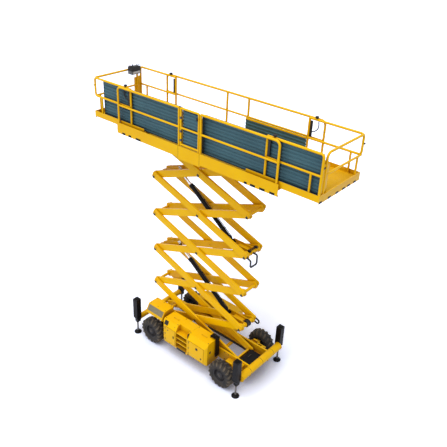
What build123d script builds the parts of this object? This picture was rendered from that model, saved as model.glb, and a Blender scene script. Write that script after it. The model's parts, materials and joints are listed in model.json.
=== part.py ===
"""Rough-terrain scissor lift with two roll-out extension decks, standing on its wheels with its stabilisers down.

Millimetres. +X is the front, +Y the left-hand side, +Z up. The origin is on the ground, under the middle of the
platform. Five scissor stages carry the platform: the inner arms rise to the front, the outer arms to the rear.
The rear column of pins stays over one fixed pivot while the front column slides.
"""
from build123d import *
from math import atan2, cos, degrees, hypot, radians, sin
import os

os.makedirs("parts", exist_ok=True)

# ---------------------------------------------------------------- driving dimensions
# running gear
FRONT_AXLE_X, REAR_AXLE_X = 1420.0, -1500.0
TYRE_R, TYRE_W, RIM_R = 430.0, 300.0, 215.0
WHEEL_Y = 970.0
KINGPIN_Y = 800.0
# stabilisers
FRONT_JACK_X, REAR_JACK_X, JACK_Y = 2040.0, -2180.0, 1045.0
JACK_TOP, JACK_SHOULDER, JACK_BOTTOM = 1350.0, 620.0, 450.0
JACK_HALF = 92.0
PAD_R, RAM_R = 120.0, 28.0
# round beams across the ends of the chassis, each with its (x, z, radius)
FRONT_BEAM, REAR_BEAM = (2100.0, 680.0, 120.0), (-2210.0, 550.0, 90.0)
BEAM_END_Y = 950.0
# chassis rails: channels that are open inwards
RAIL_Y0, RAIL_Y1 = 415.0, 465.0
RAIL_Z0, RAIL_Z1 = 400.0, 775.0
RAIL_X0, RAIL_X1 = REAR_BEAM[0], FRONT_BEAM[0]
# pods beside the chassis
POD_Z0, POD_Z1 = 400.0, 1250.0
POD_Y0, POD_Y1 = 1110.0, 550.0
# scissor stack
STAGES = 5
ARM_LENGTH = 3725.0
ARM_ANGLE = 19.8
ARM_DEPTH = 212.0
PIVOT_X, PIVOT_Z = -2000.0, 560.0
INNER_Y0, INNER_Y1 = 225.0, 285.0
OUTER_Y0, OUTER_Y1 = 295.0, 355.0
PIN_R, TUBE_R = 26.0, 45.0
FIT = 0.5
# platform
DECK_HALF, PLATFORM_HALF = 2790.0, 3840.0
PLATFORM_Y = 985.0
SKIRT_Z0, SKIRT_Z1 = 6875.0, 7190.0
FLOOR_Z = 7060.0
EXT_Z0, EXT_Z1, EXT_FLOOR_Z = 7070.0, 7240.0, 7130.0
EXT_INNER_X = 1770.0
TOP_RAIL_Z, MID_RAIL_Z = 8205.0, 7690.0
RAIL_R, MID_R = 30.0, 27.0

SPAN = ARM_LENGTH * cos(radians(ARM_ANGLE))
STAGE_H = ARM_LENGTH * sin(radians(ARM_ANGLE))
LEVELS = [PIVOT_Z + k * STAGE_H for k in range(STAGES + 1)]
FRONT_PIN_X = PIVOT_X + SPAN


# ---------------------------------------------------------------- helpers
def block(x0, x1, y0, y1, z0, z1):
    return Pos((x0 + x1) / 2, (y0 + y1) / 2, (z0 + z1) / 2) * Box(x1 - x0, y1 - y0, z1 - z0)


def rod(start, end, radius):
    """A round bar between two points."""
    a, b = Vector(*start), Vector(*end)
    plane = Plane(origin=a, z_dir=(b - a).normalized())
    return plane * Cylinder(radius, (b - a).length, align=(Align.CENTER, Align.CENTER, Align.MIN))


def bar_y(x, z, y0, y1, radius):
    """A round bar along Y."""
    return rod((x, y0, z), (x, y1, z), radius)


def fuse(shapes):
    shapes = [s for s in shapes if s is not None]
    return shapes[0].fuse(*shapes[1:]) if len(shapes) > 1 else shapes[0]


def bent_tube(points, bend, radius=RAIL_R):
    """A round tube along straight runs joined by arcs of one bend radius."""
    path = FilletPolyline(*points, radius=bend) if len(points) > 2 else Polyline(*points)
    start = Vector(*points[0])
    way = (Vector(*points[1]) - start).normalized()
    return sweep(Plane(origin=start, z_dir=way) * Circle(radius), path=path)


def prism_y(outline, y0, y1):
    """An outline of (x, z) points, pushed along Y."""
    face = make_face(Polyline(*[(x, y0, z) for x, z in outline], close=True))
    return extrude(face, amount=y1 - y0, dir=(0, 1, 0))


def prism_x(outline, x0, x1):
    """An outline of (y, z) points, pushed along X."""
    face = make_face(Polyline(*[(x0, y, z) for y, z in outline], close=True))
    return extrude(face, amount=x1 - x0, dir=(1, 0, 0))


def mirror_y(shape):
    return mirror(shape, about=Plane.XZ)


def half_turn(shape):
    return Rot(0, 0, 180) * shape


def save(name, *solids):
    """Writes one node. Solids of one node that don't touch stay separate."""
    loose = []
    for s in solids:
        loose += s.solids()
    export_step(loose[0] if len(loose) == 1 else Compound(children=loose), f"parts/{name}.step")


# ---------------------------------------------------------------- wheels and axles
def wheel(x, side):
    """Tyre and rim at x. side is +1 on the left and -1 on the right."""
    half, shoulder = TYRE_W / 2, 55.0

    def ring(outline):
        face = make_face(Polyline(*[(r, y, 0) for r, y in outline], close=True))
        return revolve(face, Axis.Y, 360)

    tread_edge = TYRE_R - 25
    tyre = ring([(RIM_R, -half + 35), (RIM_R + 60, -half), (tread_edge - shoulder, -half), (tread_edge, -half + 30),
                 (TYRE_R, -half + 60), (TYRE_R, half - 60), (tread_edge, half - 30), (tread_edge - shoulder, half),
                 (RIM_R + 60, half), (RIM_R, half - 35)])
    wall = 10.0
    rim = ring([(RIM_R, -half + 35), (RIM_R, half - 35), (RIM_R - wall, half - 35), (RIM_R - 22, 72), (150, 60),
                (130, 85), (85, 90), (85, 20), (45 + FIT, 20), (45 + FIT, -20), (85, -20), (100, 40), (150, 42),
                (RIM_R - 25, 50), (RIM_R - wall, 40), (RIM_R - wall, -half + 35)])
    place = Pos(x, side * WHEEL_Y, TYRE_R) * (Rot(0, 0, 0) if side > 0 else Rot(0, 0, 180))
    return place * tyre, place * rim


def spindle(x, side, y0):
    """The stub that a wheel turns on."""
    y_end = side * (WHEEL_Y + 15)
    return bar_y(x, TYRE_R, side * y0, y_end, 45)


YOKE = [(TYRE_R + 130, TYRE_R + 160), (TYRE_R - 160, TYRE_R - 130)]


def front_yoke(side):
    """Box on the side of the frame with an arch and a fork that hold a kingpin, and a lower box in front of it."""
    x, z = FRONT_AXLE_X, TYRE_R
    root = block(x - 140, x + 140, *sorted((side * RAIL_Y1, side * 645)), z - 120, z + 200)
    front_box = block(x + 139, x + 460, *sorted((side * RAIL_Y1, side * 585)), z - 100, z + 300)
    window = block(x + 200, x + 330, *sorted((side * (RAIL_Y1 + 30), side * 560)), z + 170, z + 310)
    outer = [(-130, 0), (-130, 190), (-80, 260), (120, 260), (170, 190), (170, 0)]
    inner = [(-88, -1), (-88, 170), (-58, 212), (98, 212), (128, 170), (128, -1)]
    y0, y1 = sorted((side * 644, side * 700))
    arch = prism_y([(x + a, z + b) for a, b in outer], y0, y1)
    arch -= prism_y([(x + a, z + b) for a, b in inner], y0 - 1, y1 + 1)
    arm = block(x - 60, x + 60, *sorted((side * RAIL_Y1, side * 662)), z - 160, z + 160)
    forks = [block(x - 60, x + 60, *sorted((side * 640, side * 840)), z0, z1) for z0, z1 in YOKE]
    return fuse([root, front_box - window, arch, arm, *forks]) - rod((x, side * KINGPIN_Y, z - 200),
                                                                     (x, side * KINGPIN_Y, z + 200), 20 + FIT)


def knuckle(side):
    x, z, y = FRONT_AXLE_X, TYRE_R, side * KINGPIN_Y
    post = rod((x, y, z - 125), (x, y, z + 125), 50)
    pin = rod((x, y, z - 165), (x, y, z + 165), 20)
    return fuse([post, pin, spindle(x, side, KINGPIN_Y)])


def rear_carrier(side):
    """Hub carrier on the side of the frame, with the spindle of a rear wheel."""
    x, z = REAR_AXLE_X, TYRE_R
    root = block(x - 110, x + 110, *sorted((side * RAIL_Y1, side * (RAIL_Y1 + 60))), z - 110, z + 180)
    return fuse([root, bar_y(x, z, side * RAIL_Y1, side * 800, 105), spindle(x, side, 790)])


WHEELS = {"front_right": (FRONT_AXLE_X, -1), "front_left": (FRONT_AXLE_X, 1),
          "rear_right": (REAR_AXLE_X, -1), "rear_left": (REAR_AXLE_X, 1)}
for name, (x, side) in WHEELS.items():
    tyre, rim = wheel(x, side)
    save(f"tyre_{name}", tyre)
    save(f"rim_{name}", rim)
save("front_yokes", front_yoke(-1), front_yoke(1))
save("rear_carriers", rear_carrier(-1), rear_carrier(1))
save("knuckle_right", knuckle(-1))
save("knuckle_left", knuckle(1))


# ---------------------------------------------------------------- chassis frame
PIVOT_PIN_R = 30.0
WEB = 20.0
TRACK_Z = LEVELS[0] - 65.0
LASHING_X, LASHING_Z, LASHING_R = (-1950.0, 1940.0), 355.0, 22.0
TRAY_X0, TRAY_X1, TRAY_Y = 1560.0, 1970.0, 285.0
TRAY_Z0, TRAY_Z1 = 440.0, 630.0


def chassis_frame():
    pieces = []
    for side in (-1, 1):
        y0, y1 = sorted((side * RAIL_Y0, side * RAIL_Y1))
        pieces.append(block(RAIL_X0, RAIL_X1, *sorted((side * (RAIL_Y1 - WEB), side * RAIL_Y1)), RAIL_Z0, RAIL_Z1))
        for z in (RAIL_Z0, RAIL_Z1 - WEB):
            pieces.append(block(RAIL_X0, RAIL_X1, y0, y1, z, z + WEB))
        # lashing eyes under the rail
        for x in LASHING_X:
            eye = block(x - 60, x + 60, *sorted((side * (RAIL_Y1 - WEB), side * RAIL_Y1)), LASHING_Z - 50, RAIL_Z0 + 1)
            pieces.append(eye - bar_y(x, LASHING_Z, -600, 600, LASHING_R))
        # shelf that the lower rollers run on
        lip0, lip1 = sorted((side * 370, side * RAIL_Y1))
        pieces.append(block(0, 1800, lip0, lip1, TRACK_Z - WEB, TRACK_Z))
        # outriggers that carry the pods
        for x in (-880, -100, 780):
            pieces.append(block(x - 40, x + 40, *sorted((side * RAIL_Y1, side * (POD_Y1 - 1))), 450, 560))
    # floor plates between the rails
    for x0, x1 in ((1400, TRAY_X1), (700, 800), (-1000, -900)):
        pieces.append(block(x0, x1, -RAIL_Y0 - 1, RAIL_Y0 + 1, RAIL_Z0, RAIL_Z0 + WEB + 20))
    # cross member behind the tray, between the paths of the bottom arms
    pieces.append(block(1420, 1480, -TRAY_Y, TRAY_Y, RAIL_Z0 + WEB, 600))
    frame = fuse(pieces) - bar_y(PIVOT_X, PIVOT_Z, -600, 600, PIVOT_PIN_R + FIT)
    for x, z, r in (FRONT_BEAM, REAR_BEAM):
        frame -= bar_y(x, z, -600, 600, r + FIT)
    return frame


def front_tray():
    """Closed box between the rails, behind the front beam, with a lid that stands proud."""
    lid = block(TRAY_X0 + 6, TRAY_X1 - 6, -TRAY_Y + 6, TRAY_Y - 6, TRAY_Z1 - 1, TRAY_Z1 + 10)
    return fuse([block(TRAY_X0, TRAY_X1, -TRAY_Y, TRAY_Y, TRAY_Z0 + 0.5, TRAY_Z1), lid])


def end_beam(x, z, r):
    """Round beam across one end, between its two stabilisers."""
    return bar_y(x, z, -BEAM_END_Y, BEAM_END_Y, r)


save("chassis_frame", chassis_frame())
save("front_tray", front_tray())
save("end_beams", end_beam(*FRONT_BEAM), end_beam(*REAR_BEAM))


# ---------------------------------------------------------------- stabilisers
def jack_housing(x, side):
    """Square tube that narrows to a foot on the side of the beam."""
    y, half, inner = side * JACK_Y, JACK_HALF, side * (JACK_Y - JACK_HALF)
    top = block(x - half, x + half, y - half, y + half, JACK_SHOULDER, JACK_TOP)
    foot = prism_x([(inner, JACK_SHOULDER + 1), (side * (JACK_Y + half), JACK_SHOULDER + 1),
                    (side * (JACK_Y + half), JACK_SHOULDER), (side * (JACK_Y + 48), JACK_SHOULDER - 80),
                    (side * (JACK_Y + 48), JACK_BOTTOM), (side * (JACK_Y - 70), JACK_BOTTOM),
                    (inner, JACK_BOTTOM + 60)], x - 66, x + 66)
    bore = rod((x, y, JACK_BOTTOM - 1), (x, y, JACK_TOP - 12), RAM_R + 2)
    return fuse([top, foot]) - bore


def jack_leg(x, side):
    y = side * JACK_Y
    ram = rod((x, y, 30), (x, y, 950), RAM_R)
    collar = rod((x, y, 30), (x, y, 75), 45)
    pad = rod((x, y, 0), (x, y, 35), PAD_R)
    return fuse([ram, collar, pad])


JACKS = {"front_right": (FRONT_JACK_X, -1), "front_left": (FRONT_JACK_X, 1),
         "rear_right": (REAR_JACK_X, -1), "rear_left": (REAR_JACK_X, 1)}
save("stabiliser_housings", *[jack_housing(x, s) for x, s in JACKS.values()])
for name, (x, side) in JACKS.items():
    save(f"stabiliser_leg_{name}", jack_leg(x, side))


# ---------------------------------------------------------------- pods beside the chassis
SHELL = 6.0
BEVEL_Y, BEVEL_Z = 110.0, 180.0
CORNER_X, CORNER_Y = 70.0, 60.0
# (rear x, front x, bottom z) of each pod
ENGINE_POD = (-945.0, 128.0, 380.0)
TANK_POD = (132.0, 900.0, 430.0)
STEPS_X, STEPS_Z0, STEPS_DEPTH = (-360.0, 100.0), 490.0, 210.0
STEP_Z = (660.0, 840.0, 1020.0)
# opening of each door in the outer face: rear x, front x, bottom z, top z
ENGINE_DOOR = (-830.0, -390.0, 500.0, 1060.0)
TANK_DOOR = (175.0, 800.0, 500.0, 1060.0)


def pod_outline(bottom, grow=0.0):
    """Section of a pod in (y, z), for the right-hand side."""
    outer, inner = -(POD_Y0 - grow), -(POD_Y1 + grow)
    z0, z1 = bottom + grow, POD_Z1 - grow
    return [(outer + 70, z0), (inner, z0), (inner, z1), (outer + BEVEL_Y, z1), (outer, z1 - BEVEL_Z), (outer, z0 + 60)]


def pod_body(x0, x1, bottom, cut, grow=0.0):
    """A pod with its upright outer corner cut off at one end: cut is "rear", "front" or "both"."""
    y = POD_Y0 - grow
    body = prism_x(pod_outline(bottom, grow), x0 + grow, x1 - grow)
    for end, x, way in (("rear", x0 + grow, 1), ("front", x1 - grow, -1)):
        if cut in (end, "both"):
            corner = make_face(Polyline((x - way, -y - 1, 0), (x + way * CORNER_X, -y - 1, 0),
                                        (x - way, -y + CORNER_Y, 0), close=True))
            body -= extrude(corner, amount=POD_Z1 + 1, dir=(0, 0, 1))
    return body


def pod_shell(x0, x1, bottom, cut, door=None):
    """A hollow pod, with the opening of its door in its outer face."""
    pod = pod_body(x0, x1, bottom, cut) - pod_body(x0, x1, bottom, cut, SHELL)
    if door:
        dx0, dx1, dz0, dz1 = door
        pod -= block(dx0, dx1, -POD_Y0 - 5, -POD_Y0 + 20, dz0, dz1)
    return pod


def engine_pod():
    """Engine pod with a recessed flight of steps that is open at the top."""
    pod = pod_shell(*ENGINE_POD, "rear", door=ENGINE_DOOR)
    x0, x1 = STEPS_X
    depth = -POD_Y0 + STEPS_DEPTH
    recess = block(x0, x1, -POD_Y0 - 5, depth, STEPS_Z0, POD_Z1 + 5)
    pocket = block(x0 - SHELL, x1 + SHELL, -POD_Y0 - 5, depth + SHELL, STEPS_Z0 - SHELL, POD_Z1)
    pocket &= prism_x(pod_outline(ENGINE_POD[2]), x0 - SHELL, x1 + SHELL)
    pod = pod + pocket - recess
    treads = [block(x0 - 1, x1 + 1, -POD_Y0 + 20, depth + 1, z, z + 25) for z in STEP_Z]
    return fuse([pod, *treads])


def door_leaf(opening):
    x0, x1, z0, z1 = opening
    gap = 6.0
    leaf = block(x0 + gap, x1 - gap, -POD_Y0 - 8, -POD_Y0 - 0.5, z0 + gap, z1 - gap)
    knuckles = rod((x0 + gap, -POD_Y0 - 10, z0 + 40), (x0 + gap, -POD_Y0 - 10, z1 - 40), 7)
    return fuse([leaf, knuckles])


HOOD_X = (-1810.0, -1080.0)
# section of the hood above a rear wheel: (distance from the middle, height)
HOOD_OUTER = [(470, 770), (470, 1300), (850, 1300), (980, 1090), (980, 1000), (970, 1000), (970, 1086),
              (844, 1290), (500, 1290), (500, 770)]


def rear_hood(side):
    """Hood above a rear wheel, with a slanted face for its grille and closed ends."""
    hood = prism_x([(side * y, z) for y, z in HOOD_OUTER], *HOOD_X)
    ends = []
    for x in (HOOD_X[0], HOOD_X[1] - 8):
        outline = [(495, 1000), (495, 1295), (847, 1295), (975, 1088), (975, 1000)]
        ends.append(prism_x([(side * y, z) for y, z in outline], x, x + 8))
    return fuse([hood, *ends])


def mirrored_pod(x0, x1, bottom, cut):
    return mirror_y(pod_shell(x0, x1, bottom, cut))


# the left-hand pods: the front one is shorter than its fellow on the right
LEFT_POD = (132.0, 560.0, 430.0)


save("engine_pod", engine_pod())
save("engine_door", door_leaf(ENGINE_DOOR))
save("tank_pod", pod_shell(*TANK_POD, "front", door=TANK_DOOR))
save("tank_door", door_leaf(TANK_DOOR))
save("left_pods", mirrored_pod(*ENGINE_POD, "rear"), mirrored_pod(*LEFT_POD, "front"))
save("rear_hood", rear_hood(-1))
save("engine_block", block(-850, -400, -1000, -620, 520, 1050))

GUARD_X, GUARD_Y, GUARD_Z = (900.5, 940.0), (550.0, 720.0), (600.0, 1310.0)


def wheel_guard(side):
    """Upright flap between a pod and the front wheel, with a cap that reaches back over the pod."""
    y0, y1 = sorted((side * GUARD_Y[0], side * GUARD_Y[1]))
    upright = block(GUARD_X[1] - 10, GUARD_X[1], y0, y1, *GUARD_Z)
    cap = block(700, GUARD_X[1], y0, y1, GUARD_Z[1] - 10, GUARD_Z[1])
    foot = block(GUARD_X[0], GUARD_X[1] - 9, y0, y1, 700, 712)
    stay = block(720, 732, y0, y1, POD_Z1 + 0.5, GUARD_Z[1] - 9)
    return fuse([upright, cap, foot, stay])


save("wheel_guard", wheel_guard(-1))


# ---------------------------------------------------------------- scissor arms
ARM_END, ARM_CUT = 62.0, 34.0


def arm_bar(x0, z0, x1, z1, y0, y1):
    """A scissor arm between two pins in (x, z), with square ends whose corners are cut off."""
    way = Vector(x1 - x0, 0, z1 - z0)
    c, s, h, e, k = way.X / way.length, way.Z / way.length, ARM_DEPTH / 2, ARM_END, ARM_CUT
    n = way.length + e
    outline = [(-e, -h + k), (-e, h - k), (-e + k, h), (n - k, h), (n, h - k), (n, -h + k), (n - k, -h), (-e + k, -h)]
    return prism_y([(x0 + a * c - p * s, z0 + a * s + p * c) for a, p in outline], y0, y1)


def plate_between(start, end, y0, y1, depth):
    """A flat link between two points in (x, z), with round ends."""
    way = Vector(end[0] - start[0], 0, end[1] - start[1])
    plane = Plane(origin=((start[0] + end[0]) / 2, y0, (start[1] + end[1]) / 2), x_dir=way.normalized(),
                  z_dir=(0, 1, 0))
    return extrude(plane * SlotOverall(way.length + depth, depth), amount=y1 - y0, dir=(0, 1, 0))


# lift cylinders: (a, p) of the base on an outer arm, from its rear pin, and of the eye on the inner arm above
CYL_BASE, CYL_EYE = (3050.0, -245.0), (750.0, 75.0)
CRADLED = (2, 4)


def on_outer(stage, a, p):
    """A point on a stage's outer arm, a down the arm from its rear pin and p across it."""
    c, s = cos(radians(ARM_ANGLE)), sin(radians(ARM_ANGLE))
    return PIVOT_X + a * c + p * s, LEVELS[stage] - a * s + p * c


def on_inner(stage, a, p):
    """A point on a stage's inner arm, a up the arm from its rear pin and p across it."""
    c, s = cos(radians(ARM_ANGLE)), sin(radians(ARM_ANGLE))
    return PIVOT_X + a * c - p * s, LEVELS[stage - 1] + a * s + p * c


HUB_Y = 190.0
REACH = OUTER_Y1 + 6


def inner_arms(stage):
    """The welded frame of two inner arms, its cross tubes and the pins on their ends."""
    z0, z1 = LEVELS[stage - 1], LEVELS[stage]
    cradle_above = stage + 1 in CRADLED
    front, rear, middle = (FRONT_PIN_X, z1), (PIVOT_X, z0), ((PIVOT_X + FRONT_PIN_X) / 2, (z0 + z1) / 2)
    pieces = []
    for side in (-1, 1):
        y0, y1 = sorted((side * INNER_Y0, side * INNER_Y1))
        pieces.append(arm_bar(*rear, *front, y0, y1))
        pieces.append(bar_y(*middle, *sorted((side * (INNER_Y0 + 5), side * REACH)), PIN_R))
        if cradle_above:
            pieces.append(bar_y(*front, *sorted((side * HUB_Y, side * (INNER_Y0 + 1))), TUBE_R + 15))
    pieces.append(bar_y(*rear, -INNER_Y0 - 1, INNER_Y0 + 1, TUBE_R))
    pieces.append(bar_y(*rear, *((-RAIL_Y1 + 5, RAIL_Y1 - 5) if stage == 1 else (-REACH, REACH)),
                        PIVOT_PIN_R if stage == 1 else PIN_R))
    if cradle_above:
        # an extra cross tube stands in for the one that the cradle's shaft replaces
        pieces.append(bar_y(*on_inner(stage, 350, 0), -INNER_Y0 - 1, INNER_Y0 + 1, TUBE_R))
    else:
        end = 433 if stage == STAGES else REACH
        pieces.append(bar_y(*front, -INNER_Y0 - 1, INNER_Y0 + 1, TUBE_R))
        pieces.append(bar_y(*front, -end, end, PIN_R))
    if stage - 1 in CRADLED:
        pieces += eye_bracket(stage)
    frame = fuse(pieces)
    return frame - bar_y(*front, -400, 400, PIN_R + FIT) if cradle_above else frame


def eye_bracket(stage):
    """Two plates from the rear cross tube to the pin of a cylinder's eye."""
    plates = []
    for side in (-1, 1):
        y0, y1 = sorted((side * 60, side * 80))
        plates.append(plate_between((PIVOT_X, LEVELS[stage - 1]), on_inner(stage, *CYL_EYE), y0, y1, 130))
    return plates


def cradle(stage):
    """Lever on the shaft at an outer pair's front pins: it carries the base of a lift cylinder."""
    shaft = (FRONT_PIN_X, LEVELS[stage - 1])
    base = on_outer(stage, *CYL_BASE)
    pieces = [bar_y(*shaft, -REACH, REACH, PIN_R), bar_y(*shaft, -HUB_Y + 5, HUB_Y - 5, 60), bar_y(*base, -130, 130, 22)]
    for side in (-1, 1):
        y0, y1 = sorted((side * 90, side * 115))
        pieces.append(plate_between(shaft, base, y0, y1, 150))
    # web between the two plates, clear of the barrel's end
    start, end = on_outer(stage, 3580, -52), on_outer(stage, 3260, -165)
    pieces.append(plate_between(start, end, -91, 91, 30))
    return fuse(pieces)


def outer_arms(stage):
    """Two outer arms with the bores that the pins turn in."""
    z0, z1 = LEVELS[stage], LEVELS[stage - 1]
    middle = ((PIVOT_X + FRONT_PIN_X) / 2, (z0 + z1) / 2)
    pair = []
    for side in (-1, 1):
        y0, y1 = sorted((side * OUTER_Y0, side * OUTER_Y1))
        arm = arm_bar(PIVOT_X, z0, FRONT_PIN_X, z1, y0, y1)
        for x, z in ((PIVOT_X, z0), middle, (FRONT_PIN_X, z1)):
            arm -= bar_y(x, z, y0 - 1, y1 + 1, PIN_R + FIT)
        pair.append(arm)
    return pair


for stage in range(1, STAGES + 1):
    save(f"inner_arms_{stage}", inner_arms(stage))
    save(f"outer_arms_{stage}", *outer_arms(stage))
for label, stage in zip(("lower", "upper"), CRADLED):
    save(f"{label}_cylinder_cradle", cradle(stage))

ROLLER_R = 60.0


def roller(level, side, y0, y1, shaft_from):
    """A roller at the front pins of a level. With shaft_from it has its own shaft, and otherwise a bore."""
    wheel = bar_y(FRONT_PIN_X, LEVELS[level], side * y0, side * y1, ROLLER_R)
    if shaft_from:
        return wheel + bar_y(FRONT_PIN_X, LEVELS[level], side * shaft_from, side * y0, PIN_R)
    return wheel - bar_y(FRONT_PIN_X, LEVELS[level], side * (y0 - 1), side * (y1 + 1), PIN_R + FIT)


save("lower_rollers", *[roller(0, s, OUTER_Y1 + 5, RAIL_Y0 - 5, OUTER_Y0) for s in (-1, 1)])


# ---------------------------------------------------------------- lift cylinders
BARREL_R, GLAND_R, ROD_R, EYE_R = 62.0, 72.0, 38.0, 50.0
EXPOSED_ROD, ROD_INSIDE = 600.0, 1500.0


def cylinder(stage):
    """Barrel and rod between the cradle on one stage's outer arms and the eye on the inner arms above."""
    (bx, bz), (ex, ez) = on_outer(stage, *CYL_BASE), on_inner(stage + 1, *CYL_EYE)
    length = hypot(ex - bx, ez - bz)
    ux, uz = (ex - bx) / length, (ez - bz) / length

    def at(d):
        return bx + ux * d, 0, bz + uz * d

    gland = length - EXPOSED_ROD
    barrel = fuse([rod(at(30), at(gland), BARREL_R), rod(at(gland - 90), at(gland), GLAND_R),
                   bar_y(bx, bz, -80, 80, EYE_R), rod(at(0), at(60), 50)])
    barrel -= bar_y(bx, bz, -90, 90, 22 + FIT)
    barrel -= rod(at(90), at(gland + 1), ROD_R + 1)
    ram = fuse([rod(at(gland - ROD_INSIDE), at(length - 40), ROD_R), bar_y(ex, ez, -50, 50, EYE_R),
                rod(at(length - 60), at(length), 40)])
    return barrel, ram


for label, stage in zip(("lower", "upper"), CRADLED):
    barrel, ram = cylinder(stage)
    save(f"{label}_cylinder_barrel", barrel)
    save(f"{label}_cylinder_rod", ram)


# ---------------------------------------------------------------- hoses held at the front joints
HOSE_R = 14.0
DRUM_R, DRUM_Y = 112.0, 60.0


def lower_hoses(stage):
    """Hose drum round the sleeve of the lower cradle, and a loop out of the end of the left outer arm."""
    x, z = FRONT_PIN_X, LEVELS[stage - 1]
    drum = bar_y(x, z, -DRUM_Y, DRUM_Y, DRUM_R) - bar_y(x, z, -DRUM_Y + 15, DRUM_Y - 15, DRUM_R + 5)
    drum = fuse([drum, bar_y(x, z, -DRUM_Y, DRUM_Y, DRUM_R - 22)]) - bar_y(x, z, -DRUM_Y - 1, DRUM_Y + 1, 60 + FIT)
    y = (OUTER_Y0 + OUTER_Y1) / 2
    tip = ARM_LENGTH + ARM_END + 0.5
    route = [(tip, 70), (tip + 150, 70), (tip + 150, -68), (tip, -68)]
    points = []
    for a, p in route:
        px, pz = on_outer(stage, a, p)
        points.append((px, y, pz))
    return [drum, bent_tube(points, 68, HOSE_R)]


def upper_hose(stage):
    """A loop out of the end of the right outer arm, back to the sleeve of the upper cradle."""
    x, z, near, far = FRONT_PIN_X, LEVELS[stage - 1], -(OUTER_Y0 + OUTER_Y1) / 2, -40.0
    tip = ARM_LENGTH + ARM_END + 0.5
    (x0, z0), (x1, z1) = on_outer(stage, tip, 0), on_outer(stage, tip + 150, 0)
    return bent_tube([(x0, near, z0), (x1, near, z1), (x1, near, z - 290), (x1, far, z - 290), (x1, far, z), (x + 60.5, far, z)],
                     58, HOSE_R)


save("hoses_lower", *lower_hoses(CRADLED[0]))
save("hose_upper", upper_hose(CRADLED[1]))


# ---------------------------------------------------------------- platform: main deck
UPPER_TRACK_Z = LEVELS[STAGES] - 65.0
TRACK_WEB_Y = (440.0, 448.0)
GUSSET_X, GUSSET_DEPTH = (-410.0, 335.0), 50.0
# the rails' posts stand on a strip along each side that lies a little lower than the floor
RAIL_Y = PLATFORM_Y - 8 - RAIL_R - 1
STRIP_Y, POST_Z0 = RAIL_Y - RAIL_R - 12, FLOOR_Z - 5


def main_deck():
    pieces = [block(-DECK_HALF, DECK_HALF, -PLATFORM_Y + 5, PLATFORM_Y - 5, FLOOR_Z - 20, POST_Z0),
              block(-DECK_HALF, DECK_HALF, -STRIP_Y, STRIP_Y, FLOOR_Z - 20, FLOOR_Z)]
    for side in (-1, 1):
        y0, y1 = sorted((side * PLATFORM_Y, side * (PLATFORM_Y - 8)))
        pieces.append(block(-DECK_HALF, DECK_HALF, y0, y1, SKIRT_Z0, SKIRT_Z1))
        f0, f1 = sorted((side * PLATFORM_Y, side * (PLATFORM_Y - 60)))
        pieces.append(block(-DECK_HALF, DECK_HALF, f0, f1, SKIRT_Z0, SKIRT_Z0 + 8))
        # deeper stretch of the skirt at its middle
        (gx0, gx1), g0 = GUSSET_X, SKIRT_Z0 - GUSSET_DEPTH
        outline = [(gx0 - 60, SKIRT_Z0 + 1), (gx0, g0), (gx1, g0), (gx1 + 60, SKIRT_Z0 + 1)]
        pieces.append(prism_y(outline, y0, y1))
        # tracks that the scissor's upper front rollers run in
        w0, w1 = sorted((side * TRACK_WEB_Y[0], side * TRACK_WEB_Y[1]))
        t0, t1 = sorted((side * TRACK_WEB_Y[0], side * 380))
        pieces.append(block(-60, 1960, w0, w1, UPPER_TRACK_Z - 12, FLOOR_Z - 19))
        pieces.append(block(-60, 1960, t0, t1, UPPER_TRACK_Z - 12, UPPER_TRACK_Z))
        # fixed hinge brackets
        h0, h1 = sorted((side * 365, side * 390))
        pieces.append(block(PIVOT_X - 90, PIVOT_X + 90, h0, h1, LEVELS[STAGES] - 90, FLOOR_Z - 19))
        p0, p1 = sorted((side * (OUTER_Y0 + 2), side * 388))
        pieces.append(bar_y(PIVOT_X, LEVELS[STAGES], p0, p1, PIN_R))
    for x in (-2650, -1800, -700, 500, 1700, 2650):
        pieces.append(block(x - 30, x + 30, -PLATFORM_Y + 5, -450, SKIRT_Z0 + 60, FLOOR_Z - 19))
        pieces.append(block(x - 30, x + 30, 450, PLATFORM_Y - 5, SKIRT_Z0 + 60, FLOOR_Z - 19))
    return fuse(pieces)


save("upper_rollers", *[roller(STAGES, s, 385, 433, None) for s in (-1, 1)])
save("main_deck", main_deck())

# posts along one side of the main railing; the gate stands between the two middle ones
POST_X = [-2735.0, -410.0, 335.0, 2705.0]
EXT_RAIL_Y = RAIL_Y - 78


def rail_section(x0, x1, y, bend_at):
    """Posts at both ends, a top and a middle rail. bend_at says which end's top corner is bent round."""
    corner = 120.0
    if bend_at == "low":
        hoop = bent_tube([(x0, y, POST_Z0), (x0, y, TOP_RAIL_Z), (x1, y, TOP_RAIL_Z)], corner)
        post = rod((x1, y, POST_Z0), (x1, y, TOP_RAIL_Z), RAIL_R)
    else:
        hoop = bent_tube([(x1, y, POST_Z0), (x1, y, TOP_RAIL_Z), (x0, y, TOP_RAIL_Z)], corner)
        post = rod((x0, y, POST_Z0), (x0, y, TOP_RAIL_Z), RAIL_R)
    middle = rod((x0, y, MID_RAIL_Z), (x1, y, MID_RAIL_Z), MID_R)
    return fuse([hoop, post, middle])


def main_rails():
    sections = []
    for side in (-1, 1):
        y = side * RAIL_Y
        sections.append(rail_section(POST_X[0], POST_X[1], y, "low"))
        sections.append(rail_section(POST_X[2], POST_X[3], y, "high"))
    # across the middle bay of the left side
    sections[2] = fuse([sections[2], sections[3],
                        rod((POST_X[1], RAIL_Y, TOP_RAIL_Z), (POST_X[2], RAIL_Y, TOP_RAIL_Z), RAIL_R),
                        rod((POST_X[1], RAIL_Y, MID_RAIL_Z), (POST_X[2], RAIL_Y, MID_RAIL_Z), MID_R)])
    return sections[:3]


save("main_rails", *main_rails())

# ---------------------------------------------------------------- corrugated infill panels
RIB_PITCH, RIB_DEPTH, SHEET = 92.0, 16.0, 2.5


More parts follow.
